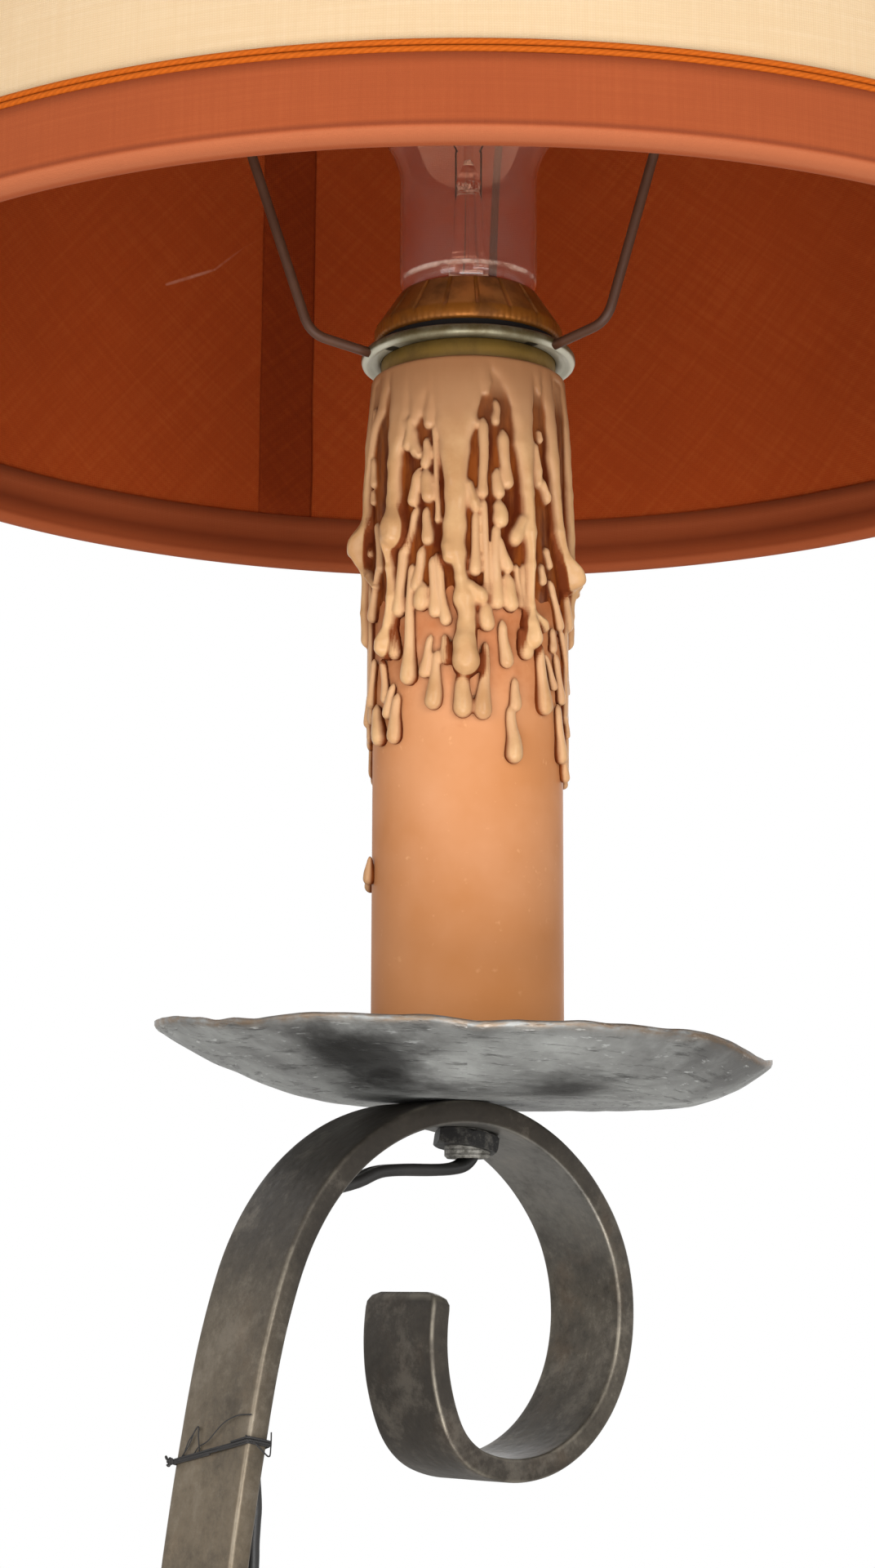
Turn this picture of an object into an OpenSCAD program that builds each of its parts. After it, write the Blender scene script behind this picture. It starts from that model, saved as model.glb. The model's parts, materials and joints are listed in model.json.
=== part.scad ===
// Wrought-iron floor lamp with a dripping candle, a hammered drip pan and a drum shade.
// Units are millimetres. The origin is on the floor, below the middle of the whole lamp. +Z is up.
// The scroll lies in the XZ plane, and the stem stands on the -X side of the candle.
// Every piece is drawn from the candle's axis, and placed() moves it to the origin's frame.

/* [Overall] */
// Height of the bottom rim of the shade above the floor
shade_bottom = 1180; // [1050:5:1300]
// Height of the crown of the crook, where the drip pan sits
crown_z = 1024.4; // [900:0.2:1150]
// Distance from the candle's axis to the middle of the straight stem
stem_reach = 75.5; // [72:0.5:90]

/* [Flat bar] */
// Width of the forged flat bar
bar_w = 22; // [18:0.5:26]
// Thickness of the forged flat bar
bar_t = 5; // [4:0.5:6]
// Distance of the crown's highest point from the candle's axis
crown_x = 8.5; // [6:0.5:12]

/* [Base] */
// Diameter of the hub that joins the stem and the legs
hub_d = 44; // [40:1:56]
// Height of the top of the hub
hub_top = 190; // [170:5:230]
// Length of the hub
hub_len = 70; // [60:5:90]
// Distance from the stem to the middle of each foot
foot_reach = 182; // [160:1:210]
// Diameter of the rubber pads under the feet
pad_d = 20; // [16:1:22]
// Thickness of the rubber pads
pad_t = 3; // [2:0.5:5]

/* [Drip pan] */
// Radius of the drip pan at its rim
pan_r = 66.6; // [55:0.2:80]
// Depth of the drip pan
pan_depth = 11.8; // [9:0.2:18]
// Thickness of the beaten sheet
pan_t = 1.8; // [1.2:0.1:2.5]
// Lean of the beaten rim, in degrees
pan_lean = 5; // [0:0.1:6]

/* [Candle] */
// Outer diameter of the candle sleeve
sleeve_d = 42; // [40:0.5:46]
// Wall thickness of the candle sleeve
sleeve_t = 1.4; // [1:0.1:2]
// Length of the candle sleeve
sleeve_len = 158; // [140:1:180]
// Greatest thickness of the wax coat
wax_t = 3.6; // [2.5:0.1:4.5]

/* [Lampholder and bulb] */
// Radius of the threaded riser tube
tube_r = 4.95; // [4.5:0.05:5]
// Bore radius of the riser tube
tube_bore_r = 3.5; // [3.2:0.1:4]
// Width across flats of the hexagon locknuts
nut_flats = 13; // [12:0.5:16]
// Radius of the threaded barrel of the lampholder
barrel_r = 19; // [18:0.1:19.4]
// Largest radius of the bulb
bulb_r = 32.5; // [28:0.5:36]

/* [Shade] */
// Height of the shade
shade_h = 320; // [260:5:360]
// Outer radius of the shade at the bottom
shade_r = 157.6; // [140:0.2:175]
// How much smaller the radius is at the top
shade_draw = 5; // [0:0.5:15]
// Height of the fabric trim bands
trim_h = 15.4; // [12:0.1:22]
// Diameter of the wire rings
ring_wire = 3.4; // [2.5:0.1:4]
// Diameter of the three shade arms
arm_wire = 2.2; // [1.8:0.1:3]

/* [Lead] */
// Width of the twin flex
flex_w = 5; // [4.4:0.1:5.6]
// Thickness of the twin flex
flex_t = 2.6; // [2.2:0.1:3]
// Turns in each layer of the put-away coil
coil_turns = 4; // [3:1:5]
// Outer radius of the coil, at the middle of the flex
coil_r = 37; // [34:0.5:42]

/* [Hidden] */
$fn = 72;
touch = 0.05;

// The crook and the scroll, as radius of the bar's middle line and turn in degrees.
scroll_bends = [[48.5, 55], [36.4, 50], [31.7, 50], [32, 45], [15.5, 45], [40, 38]];
crook_bends = [[51, 45], [55, 25], [155, 8]];
crook_turn = 78;

// The directions of the head, seen in plan.
front_turn = -132.8;
arm_turns = [40, 160, 280];
leg_turns = [0, 120, 240];

// Heights of the column above the crown.
bar_mid_z = crown_z - bar_t / 2;
seat_r = 22;
seat_z = crown_z + pan_t;
nut_t = 3.4;
washer_t = 1.5;
disc_t = 1.2;
sleeve_r = sleeve_d / 2;
sleeve_top = seat_z + sleeve_len;
wax_top = sleeve_top + 0.4;
tube_below_nut = 3.4;
tube_bottom = bar_mid_z - bar_t / 2 - nut_t - tube_below_nut;
collar_z = wax_top + 0.4;
collar_t = 4;
carrier_z = collar_z + collar_t;
carrier_t = 3.6;
gasket_t = 2.2;
cap_ring_z = carrier_z + carrier_t + gasket_t;
cap_ring_h = 11.6;
holder_h = 39;
holder_bottom = collar_z - holder_h;
tube_top = holder_bottom + 6;

// The shade.
shade_top = shade_bottom + shade_h;
cover_t = 0.6;
lining_t = 0.4;
trim_t = 0.7;
layer_gap = 0.1;
piping_d = 1.2;
cover_inset = trim_t + layer_gap;
lining_inset = cover_inset + cover_t + layer_gap;
skin_inset = lining_inset + lining_t + layer_gap;
ring_r = shade_r - trim_t - cover_t - lining_t - 2 * layer_gap - ring_wire / 2 - trim_t;

// The base.
stem_x = -stem_reach;
hub_flat = hub_d / 2 - 4;
hub_bottom = hub_top - hub_len;
tang_len = 52;
slot_gap = 0.1;
leg_t = bar_t;
leg_mid_z = pad_t + leg_t / 2;
rivet_r = 3;

// The lead.
flex_gap = 0.1;
flex_x = stem_x + bar_t / 2 + flex_gap + flex_t / 2;
tie_heights = [953, 612, 276];
lead_start_z = 270;
thread_d = 0.8;
switch_len = 70;
switch_w = 40;
switch_h = 18;
switch_at = [10, 45];
button_r = 12;
coil_at = [85, 82];
coil_pitch = flex_t + 1.2;
coil_low_z = 2.8;
coil_step = flex_w + 1;
plug_at = [50, 119];
plug_t = 14;

// Route of the lead from the lowest tie to the switch.
drop_route = [
    [0, 0, 0], [0, 0, -13], [0.1, 3, -26], [0.6, 9, -38], [1.6, 16.5, -49.5],
    [3.1, 24, -61], [4.6, 31, -73], [6.1, 36.5, -86], [7.6, 40.5, -100], [8.6, 43, -114],
    [9.1, 44.5, -128], [9.6, 45, -142], [9.6, 45, -156], [9.6, 45, -170], [9.6, 45, -184],
    [9.6, 45, -198], [9.6, 45, -211], [10.1, 45, -223], [11.6, 45, -235], [15.1, 45, -246],
    [21.1, 45, -255], [29.6, 45, -260.5], [38.6, 45, -263], [46.6, 45, -263]];

// Route of the lead from the switch to the coil.
link_route = [[45, 45, 7], [51, 45, 7], [59, 45, 6.2], [68, 45, 4.4], [77, 45, 3], [85, 45, 2.8]];

// Route of the lead from the coil to the plug.
tail_route = [
    [85, 119, 8.8], [79, 119, 8.8], [71, 119, 8.4], [63, 119, 7.6], [56, 119, 7], [50, 119, 7]];

// Lift of the beaten rim at even steps round the pan, from the front.
rim_lift = [
    -1, 0.2, 0.5, -1.7, -0.3, 0.3, 0.9, -0.6, -1.1, 0.5,
    1.2, -0.2, -0.3, -0.7, -2.2, -0.9];
// Growth of the beaten rim's radius at the same steps.
rim_grow = [
    0, 0.4, 0.2, -0.9, -1.3, -1, -0.4, 0.3, 0.7, 0.2,
    -0.5, 0.2, 0.7, 0.8, 0.3, -0.2];

// The broad wax tongues: turn from the front, length, half widths at top and end, end drop radius.
tongues = [
    [-90, 38, 3.6, 2.2, 2.3], [-44, 39, 4.4, 2.2, 3.1], [-8, 68, 4.6, 1.7, 3.4],
    [12, 54, 2.4, 1.3, 2.2], [36, 61.5, 5, 2, 2.8], [76, 46.5, 5.4, 2.4, 2.2],
    [118, 58, 4.6, 1.8, 3], [160, 43, 5, 2.2, 2.6], [204, 66, 4.4, 1.8, 3.2], [238, 50, 4, 2, 2.4]];
// The thin drips: turn from the front and length.
drips = [
    [-86, 78], [-72, 74], [-66, 56], [-56, 84], [-50, 78], [-33, 72], [-25, 56], [-19, 78],
    [-13, 60], [-2, 80], [5, 49], [10, 80], [17, 56], [22, 69], [27, 89], [33, 66],
    [47, 78], [54, 72], [61, 75], [67, 92], [73, 81], [82, 71], [95, 60], [104, 84],
    [112, 70], [127, 76], [136, 88], [145, 62], [153, 80], [168, 70], [178, 90], [188, 58],
    [196, 76], [212, 82], [222, 66], [230, 92], [246, 74], [255, 62], [262, 86]];
drip_half = 1.4;
drip_drop = 1.8;
mantle_h = 14;
film_h = 34;

// Draws a piece in its colour and moves it so that the lamp stands centred over the origin.
module placed(tone, clear = 1) {
    color(tone, clear)
        translate([middle_x, 0, 0])
            children();
}

// Flat bar

bend_step = 5;
bend_run = 17;
tip_len = 0.8;
tip_ease = 0.7;

// A run is a list of [radius, turn], where a radius of 0 makes a straight of that length.
// It starts along +X and turns down for a positive angle. Points are [x, z, angle below +X].
function run_ahead(r, turn, at) =
    let (h = at[2], q = sign(turn) * r)
    r == 0 ?
        [at[0] + turn * cos(h), at[1] - turn * sin(h), h] :
        [at[0] + q * (sin(h + turn) - sin(h)), at[1] - q * (cos(h) - cos(h + turn)), h + turn];

function run_points(steps, at = [0, 0, 0], i = 0) =
    i == len(steps) ? [at] :
    let (r = steps[i][0], turn = steps[i][1], arc = r * abs(turn) * PI / 180,
        n = r == 0 ? 1 : ceil(max(abs(turn) / bend_step, arc / bend_run)),
        next = run_ahead(r, turn, at))
    concat(
        [for (k = [0:n - 1]) run_ahead(r, turn * k / n, at)],
        run_points(steps, next, i + 1));

function run_end(steps) = let (p = run_points(steps)) p[len(p) - 1];

// One edge of the bar beside its middle line, ahead of or behind a point by a distance.
function beside(p, side, ahead = 0) =
    [p[0] + side * sin(p[2]) + ahead * cos(p[2]), p[1] + side * cos(p[2]) - ahead * sin(p[2])];

// A flat bar bent along points, with the hammered corners of its last end rounded.
module bent_bar(points) {
    n = len(points);
    tip = points[n - 1];
    rotate([90, 0, 0])
        linear_extrude(bar_w, center = true)
            polygon(concat(
                [for (p = points) beside(p, bar_t / 2)],
                [beside(tip, bar_t / 2 - tip_ease, tip_len), beside(tip, tip_ease - bar_t / 2, tip_len)],
                [for (i = [n - 1:-1:0]) beside(points[i], -bar_t / 2)]));
}

// The last bend of the crook brings the bar upright at the stem's reach.
crook_end = run_end(crook_bends);
last_turn = 90 - crook_turn;
last_bend_r = (stem_reach - crown_x - crook_end[0]) / (1 - sin(crook_turn));
crook_steps = concat(crook_bends, [[last_bend_r, last_turn]]);
stem_top_z = bar_mid_z + run_end(crook_steps)[1];
stem_len = stem_top_z - hub_top + tang_len;

// The bar from its lower end, up the stem, over the crown and round the scroll.
stem_points = run_points(concat(crook_steps, [[0, stem_len]]));
bar_points = concat(
    [for (i = [len(stem_points) - 1:-1:1])
        let (p = stem_points[i]) [-p[0], p[1], -p[2]]],
    run_points(scroll_bends));

module stem_bar() {
    placed("#6b655c")
        difference() {
            translate([-crown_x, 0, bar_mid_z])
                bent_bar(bar_points);
            translate([0, 0, bar_mid_z - bar_t])
                cylinder(r = tube_r + touch, h = 2 * bar_t);
            translate([stem_x - bar_t, 0, pin_z])
                rotate([0, 90, 0])
                    cylinder(r = rivet_r, h = 2 * bar_t);
        }
}

// Base

pin_z = hub_top - 36;
rivet_heights = [hub_top - 16, hub_bottom + 16];
rivet_depth = 7;

module at_stem() {
    translate([stem_x, 0, 0])
        children();
}

module hub() {
    placed("#565049")
        at_stem()
            difference() {
                rotate_extrude()
                    polygon([
                        [0, hub_bottom], [hub_d / 2 - 3, hub_bottom], [hub_d / 2, hub_bottom + 3],
                        [hub_d / 2, hub_top - 3], [hub_d / 2 - 3, hub_top], [0, hub_top]]);
                for (turn = leg_turns)
                    rotate(turn)
                        translate([hub_flat, -hub_d / 2, hub_bottom - 1])
                            cube([hub_d, hub_d, hub_len + 2]);
                translate([-bar_t / 2 - slot_gap, -bar_w / 2 - slot_gap, hub_top - tang_len])
                    cube([bar_t + 2 * slot_gap, bar_w + 2 * slot_gap, tang_len + 1]);
                for (turn = leg_turns, z = rivet_heights)
                    rotate(turn)
                        translate([hub_flat - rivet_depth, 0, z])
                            rotate([0, 90, 0])
                                cylinder(r = rivet_r, h = hub_d);
                translate([-hub_d, 0, pin_z])
                    rotate([0, 90, 0])
                        cylinder(r = rivet_r, h = 2 * hub_d);
            }
}

// A rivet along +X from its blind end at the origin, with a domed head.
module rivet(shank) {
    head = 2.4;
    head_r = 5.5;
    rotate([0, 90, 0])
        rotate_extrude()
            polygon(concat(
                [[0, 0], [rivet_r, 0], [rivet_r, shank], [head_r, shank]],
                [for (a = [10:20:90]) [head_r * cos(a), shank + head * sin(a)]]));
}

module stem_pin() {
    placed("#4b463f")
        at_stem()
            translate([hub_flat, 0, pin_z])
                rotate(180)
                    rivet(hub_flat + hub_d / 2 + touch);
}

// The leg leaves the hub upright, flares out, lands flat and curls up at the toe.
flare_r = 70;
flare_turn = 56;
land_r = 60;
toe_r = 11;
toe_turn = 215;
foot_flat = 26;
tab_len = 64;
tab_top = hub_top - 4;
tab_r = hub_flat + leg_t / 2;
tread_drop = tab_top - tab_len - leg_mid_z;
tread_angle = 90 - flare_turn;
tread_len = (tread_drop - flare_r * sin(flare_turn) - land_r * (1 - cos(tread_angle)))
    / sin(tread_angle);
land_reach = tab_r + flare_r * (1 - cos(flare_turn)) + tread_len * cos(tread_angle)
    + land_r * sin(tread_angle);
foot_run = foot_reach - land_reach + foot_flat / 2;
leg_steps = [
    [0, tab_len], [flare_r, -flare_turn], [0, tread_len], [land_r, -tread_angle],
    [0, foot_run], [toe_r, -toe_turn]];

// The lamp's middle lies halfway between the rear toes and the far side of the shade.
leg_line = run_points(leg_steps);
toe_reach = tab_r + max([for (p = leg_line) beside(p, -bar_t / 2)[1]]);
rear_x = stem_x + min([for (turn = leg_turns) toe_reach * cos(turn) - bar_w / 2 * abs(sin(turn))]);
piping_z = shade_bottom + trim_h + piping_d / 2;
far_x = wall_r(piping_z, cover_inset) + piping_d + layer_gap / 2;
middle_x = -(rear_x + far_x) / 2;

module leg(turn) {
    placed("#5f5952")
        at_stem()
            rotate(turn)
                difference() {
                    translate([tab_r, 0, tab_top])
                        rotate([0, 90, 0])
                            bent_bar(leg_line);
                    for (z = rivet_heights)
                        translate([hub_flat - 1, 0, z])
                            rotate([0, 90, 0])
                                cylinder(r = rivet_r, h = leg_t + 2);
                    translate([foot_reach, 0, 0])
                        cylinder(r = 2.5, h = pad_t + leg_t + 1);
                }
}

module leg_front() { leg(leg_turns[0]); }
module leg_left() { leg(leg_turns[1]); }
module leg_right() { leg(leg_turns[2]); }

module leg_rivets() {
    placed("#4b463f")
        at_stem()
            for (turn = leg_turns, z = rivet_heights)
                rotate(turn)
                    translate([hub_flat - rivet_depth, 0, z])
                        rivet(rivet_depth + leg_t);
}

module foot_pads() {
    placed("#2a2826")
        at_stem()
            for (turn = leg_turns)
                rotate(turn)
                    translate([foot_reach, 0, 0])
                        rotate_extrude()
                            polygon([
                                [0, 0], [pad_d / 2 - 0.6, 0], [pad_d / 2, 0.6],
                                [pad_d / 2, pad_t], [2.5, pad_t], [2.5, pad_t + leg_t - 0.5],
                                [2, pad_t + leg_t], [0, pad_t + leg_t]]);
}

// Column

module tube_between(r_out, r_in, z_low, z_high) {
    rotate_extrude()
        polygon([[r_in, z_low], [r_out, z_low], [r_out, z_high], [r_in, z_high]]);
}

nut_corner_r = nut_flats / 2 / cos(30);
nut_chamfer = 0.7;

// A hexagon nut that hangs below its top face, at a slope, with its bore along the tube.
module hex_nut(top_z, slope) {
    difference() {
        translate([0, 0, top_z])
            rotate([0, slope, 0])
                intersection() {
                    translate([0, 0, -nut_t])
                        rotate(front_turn + 10)
                            cylinder(r = nut_corner_r, h = nut_t, $fn = 6);
                    rotate_extrude()
                        polygon([
                            [0, -nut_t], [nut_corner_r - nut_chamfer, -nut_t],
                            [nut_corner_r + 0.2, nut_chamfer - nut_t],
                            [nut_corner_r + 0.2, -nut_chamfer],
                            [nut_corner_r - nut_chamfer, 0], [0, 0]]);
                }
        translate([0, 0, top_z - nut_t - 2])
            cylinder(r = tube_r + touch, h = nut_t + 4);
    }
}

module riser_tube() {
    placed("#a8a49a")
        rotate_extrude()
            polygon([
                [tube_bore_r + 0.4, tube_bottom], [tube_r - 0.6, tube_bottom],
                [tube_r, tube_bottom + 0.6], [tube_r, tube_top], [tube_bore_r, tube_top],
                [tube_bore_r, tube_bottom + 0.4]]);
}

// The lower nut draws up against the bar beside its crown, so it sits at the bar's slope there.
under_r = scroll_bends[0][0] - bar_t / 2;
nut_slope = asin(crown_x / under_r);
nut_sag = pow(nut_corner_r - nut_chamfer, 2) / (2 * under_r);
nut_seat_z = bar_mid_z - scroll_bends[0][0] + under_r * cos(nut_slope) - nut_sag - 3 * touch;

module locknut_lower() {
    placed("#3a3835")
        hex_nut(nut_seat_z, nut_slope);
}

module sleeve_disc() {
    placed("#8f8a80")
        tube_between(sleeve_r - sleeve_t - touch, tube_r + touch, seat_z, seat_z + disc_t);
}

module pan_washer() {
    placed("#8f8a80")
        tube_between(11, tube_r + touch, seat_z + disc_t, seat_z + disc_t + washer_t);
}

module locknut_upper() {
    placed("#3a3835")
        hex_nut(seat_z + disc_t + washer_t + nut_t, 0);
}

// Drip pan

pan_columns = 72;
// Rings of the dish, as shares of the way from the seat's edge to the rim.
pan_shares = [0, 0.135, 0.27, 0.405, 0.54, 0.673, 0.785, 0.885, 0.96, 1];

function wave(list, turn) =
    let (n = len(list), p = turn / 360 * n, k = floor(p), s = (1 - cos(180 * (p - k))) / 2)
    list[(k % n + n) % n] * (1 - s) + list[((k + 1) % n + n) % n] * s;

function pan_share(r) = max(0, (r - seat_r) / (pan_r - seat_r));

// The beaten dish: flat to the seat's edge, then rising, leaning and waving to the rim.
function pan_point(k, r, lift) =
    let (turn = 360 * k / pan_columns, s = pan_share(r), grow = wave(rim_grow, turn) * s,
        lean = -(r - seat_r) * tan(pan_lean) * sin(turn) * min(1, 1.6 * s),
        z = pan_depth * pow(s, 2.1) + lean + wave(rim_lift, turn) * pow(s, 3))
    [(r + grow) * cos(turn + front_turn), (r + grow) * sin(turn + front_turn), crown_z + lift + z];

// A closed skin through rings of points, joined from the last ring back to the first.
module ring_skin(points, rings, columns) {
    faces = [for (j = [0:rings - 1], i = [0:columns - 1])
        let (a = j * columns, b = (j + 1) % rings * columns, n = (i + 1) % columns)
        each [[a + i, b + i, b + n], [a + i, b + n, a + n]]];
    polyhedron(points, faces, convexity = 6);
}

module drip_pan() {
    radii = concat([tube_r + touch], [for (s = pan_shares) seat_r + (pan_r - seat_r) * s]);
    points = concat(
        [for (r = radii, k = [0:pan_columns - 1]) pan_point(k, r, 0)],
        [for (j = [len(radii) - 1:-1:0], k = [0:pan_columns - 1])
            pan_point(k, radii[j] - (j == len(radii) - 1 ? 0.5 : 0), pan_t)]);
    placed("#7f7f7c")
        ring_skin(points, 2 * len(radii), pan_columns);
}

// Candle

module candle_sleeve() {
    placed("#cf9060")
        tube_between(sleeve_r, sleeve_r - sleeve_t, seat_z, sleeve_top);
}

wax_columns = 96;
wax_rows = 32;
wax_gap = 0.02;
wax_bore_r = (sleeve_r + wax_gap) / cos(180 / wax_columns);
wax_film = 0.5;

function turn_gap(a, b) = let (d = abs((a - b) % 360)) min(d, 360 - d);

// Height of one drip's surface: a rounded ridge that ends in a fuller drop.
function ridge(turn, down, drip) =
    let (side = turn_gap(turn, drip[0]) * PI / 180 * (sleeve_r + 1), length = drip[1],
        share = min(1, max(0, down / length)), drop = drip[4],
        half = drip[2] + (drip[3] - drip[2]) * share,
        body = down < length - drop && side < half ?
            drip[5] * sqrt(max(0, 1 - pow(side / half, 2))) : 0,
        away = sqrt(side * side + pow(down - length + drop, 2)),
        end = away < drop ? sqrt(drop * drop - away * away) * 1.05 : 0)
    max(body, end);

all_drips = concat(
    [for (t = tongues) [t[0], t[1], t[2], t[3], t[4], wax_t - 0.4]],
    [for (d = drips) [d[0], d[1], drip_half, drip_half, drip_drop, 1.9]]);

// The mantle hugs the top edge and runs out into the film under the drips.
function mantle(down) =
    down < mantle_h ? wax_t * sqrt(min(1, (down + 1.2) / 5)) :
    down < film_h ? 0.9 + (wax_t - 0.9) * pow(1 - (down - mantle_h) / (film_h - mantle_h), 3) : 0.9;

function wax_reach(turn) =
    max(film_h, max([for (d = all_drips)
        let (side = turn_gap(turn, d[0]) * PI / 180 * (sleeve_r + 1))
        side < d[4] ? d[1] - d[4] + sqrt(d[4] * d[4] - side * side) : 0]));

function wax_height(turn, down, reach) =
    let (near = [for (d = all_drips) if (turn_gap(turn, d[0]) < 16) d])
    max(wax_film, down < film_h ? mantle(down) : 0,
        max([for (d = near) ridge(turn, down, d)]));

module wax_drips() {
    step = 360 / wax_columns;
    reaches = [for (i = [0:wax_columns - 1]) wax_reach(i * step)];
    outer = [for (j = [0:wax_rows], i = [0:wax_columns - 1])
        let (turn = i * step, down = reaches[i] * j / wax_rows,
            r = wax_bore_r + (j == wax_rows ? wax_film : wax_height(turn, down, reaches[i])))
        [r * cos(turn + front_turn), r * sin(turn + front_turn), wax_top - down]];
    inner = [for (j = [wax_rows, 0], i = [0:wax_columns - 1])
        let (turn = i * step + front_turn)
        [wax_bore_r * cos(turn), wax_bore_r * sin(turn),
            wax_top - reaches[i] * j / wax_rows]];
    placed("#dcb78c")
        ring_skin(concat(outer, inner), wax_rows + 3, wax_columns);
}

// Lampholder

module holder_cap() {
    placed("#2d2a27")
        rotate_extrude()
            polygon([
                [tube_r + touch, holder_bottom], [8, holder_bottom], [8.6, holder_bottom + 4],
                [14, holder_bottom + 7], [17.2, holder_bottom + 11], [17.6, holder_bottom + 18],
                [15.8, holder_bottom + 18], [15.8, holder_bottom + 12],
                [12.5, holder_bottom + 9], [tube_r + touch, holder_bottom + 7]]);
}

module holder_body() {
    low = holder_bottom + 18;
    high = cap_ring_z + 5;
    placed("#2d2a27")
        difference() {
            rotate_extrude()
                polygon([
                    [0, low], [17.6, low], [17.6, collar_z], [barrel_r, collar_z],
                    [barrel_r, high - 0.8], [barrel_r - 0.8, high], [15.2, high],
                    [15.2, low + 6], [0, low + 6]]);
            for (x = [-6, 6])
                translate([x, 0, low - 1])
                    cylinder(r = 1.8, h = 8);
        }
}

module holder_shell() {
    low = holder_bottom + 24;
    placed("#b08d57")
        rotate_extrude()
            polygon([
                [5, low], [14.9, low], [14.9, low + 0.5], [13.85, low + 0.5],
                [13.85, cap_ring_z + 3], [13.35, cap_ring_z + 3], [13.35, low + 0.5],
                [5, low + 0.5]]);
}

module holder_contact() {
    low = holder_bottom + 24;
    placed("#b08d57")
        difference() {
            tube_between(3.5, 0.8, low, contact_gap_z);
            translate([-5, 1.5, low + 0.6])
                cube([10, 10, 10]);
        }
}

module holder_collar() {
    placed("#8b7436")
        rotate_extrude()
            polygon([
                [barrel_r + touch, collar_z], [21, collar_z], [21.6, collar_z + 0.6],
                [21.6, collar_z + collar_t - 0.4], [21.2, collar_z + collar_t],
                [barrel_r + touch, collar_z + collar_t]]);
}

module shade_gasket() {
    placed("#1b1a19")
        tube_between(20.4, barrel_r + touch, carrier_z + carrier_t, cap_ring_z - 0.05);
}

module shade_ring() {
    z = cap_ring_z;
    placed("#a27a36")
        difference() {
            rotate_extrude()
                polygon([
                    [barrel_r + 0.08, z], [20.6, z], [21.2, z + 0.6], [21.2, z + 3.4],
                    [15.7, z + cap_ring_h], [14.7, z + cap_ring_h], [14.7, z + cap_ring_h - 1],
                    [barrel_r + 0.08, z + 5.6]]);
            for (k = [0:11])
                rotate(k * 30)
                    translate([15, -0.4, z + 6.4])
                        cube([6, 0.8, 4]);
        }
}

// Bulb

bulb_low = holder_bottom + 32;
contact_gap_z = bulb_low - 0.4;
neck_z = cap_ring_z + cap_ring_h - 2;
neck_top = 1230;
flare_len = 36;
ball_z = neck_top + flare_len + 4;
neck_r = 15.6;
glass_t = 0.8;

module bulb_contact() {
    placed("#9a948a")
        rotate_extrude()
            polygon([
                [0, bulb_low], [4, bulb_low + 0.3], [4.6, bulb_low + 1.4], [9, bulb_low + 3.4],
                [9, bulb_low + 4.2], [0, bulb_low + 4.2]]);
}

// The screw cap, with its rounded thread as five ridges.
module bulb_cap() {
    low = bulb_low + 4.2;
    pitch = 3.62;
    ridges = [for (k = [0:4], a = [0:30:330])
        [12.45 + 0.55 * cos(a), low + 1.2 + pitch * (k + a / 360)]];
    placed("#b7b2a6")
        rotate_extrude()
            polygon(concat(
                [[0, low], [10.6, low]], ridges,
                [[12.9, low + 20.2], [13.1, neck_z], [12.6, neck_z],
                [11.6, low + 19], [11.6, low + 1.4], [0, low + 1.4]]));
}

function smooth(s) = s * s * (3 - 2 * s);

// The glass: a short neck that widens, a straight throat, a flare and a round crown.
function bulb_profile(inset) = concat(
    [for (s = [0:0.25:1]) [13.5 + (neck_r - 13.5) * smooth(s) - inset, neck_z + 9 * s]],
    [for (s = [0:0.125:0.95]) [neck_r + (bulb_r * 0.985 - neck_r) * smooth(s * 0.96) - inset,
        neck_top + flare_len * s]],
    [for (a = [0:9:81]) [(bulb_r - inset) * cos(a), ball_z + (bulb_r - inset) * sin(a)]],
    [[0, ball_z + bulb_r - inset]]);

module bulb_glass() {
    outer = bulb_profile(0);
    inner = bulb_profile(glass_t);
    placed("#e8eef0", 0.35)
        rotate_extrude($fn = 96)
            polygon(concat(outer, [for (i = [len(inner) - 1:-1:0]) inner[i]]));
}

mount_top = neck_top + 12;

module bulb_mount() {
    placed("#dfe6e8", 0.5)
        rotate_extrude()
            polygon([
                [0, neck_z - 1], [11.5, neck_z - 1], [11.5, neck_z], [6, neck_z + 5],
                [3.6, neck_z + 12], [3.2, mount_top - 6], [2, mount_top], [1.2, mount_top + 6],
                [0.9, mount_top + 16], [1.8, mount_top + 18], [0, mount_top + 19]]);
}

// One wire rises on each side of the glass mount, spreads, and carries the filament across.
module bulb_filament() {
    wire = [for (k = [0:7]) 0.35 * [cos(45 * k), sin(45 * k)]];
    side = [[2.9, mount_top - 18], [2.9, mount_top - 1], [3.3, mount_top + 1], [13, mount_top + 25],
        [12.6, mount_top + 26.2], [11, mount_top + 26.6]];
    across = [[4, mount_top + 25.6], [-4, mount_top + 25.6]];
    route = concat(side, across, [for (i = [len(side) - 1:-1:0]) [-side[i][0], side[i][1]]]);
    placed("#5a5148")
        rotate(front_turn)
            tube_along([for (p = route) [0, p[0], p[1]]], [1, 0, 0], wire, 0);
}

// Shade frame

module carrier_ring() {
    z = carrier_z;
    placed("#8c8a80")
        rotate_extrude()
            polygon([
                [barrel_r + touch, z], [22.2, z], [22.8, z - 0.7], [23.6, z - 0.7],
                [24.1, z + 0.4], [24.1, z + 2.4], [23.4, z + carrier_t], [22.6, z + carrier_t],
                [22, z + 1.6], [20.6, z + 1.4], [20.4, z + carrier_t], [barrel_r + touch, z + carrier_t]]);
}

arm_foot_r = 23.9;
arm_foot_z = carrier_z + 1.5;
arm_knee_r = 38;
arm_knee_z = carrier_z + 4.1;
arm_top_r = ring_r - shade_draw - 0.8;
arm_top_z = shade_top - 2.4;

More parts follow.
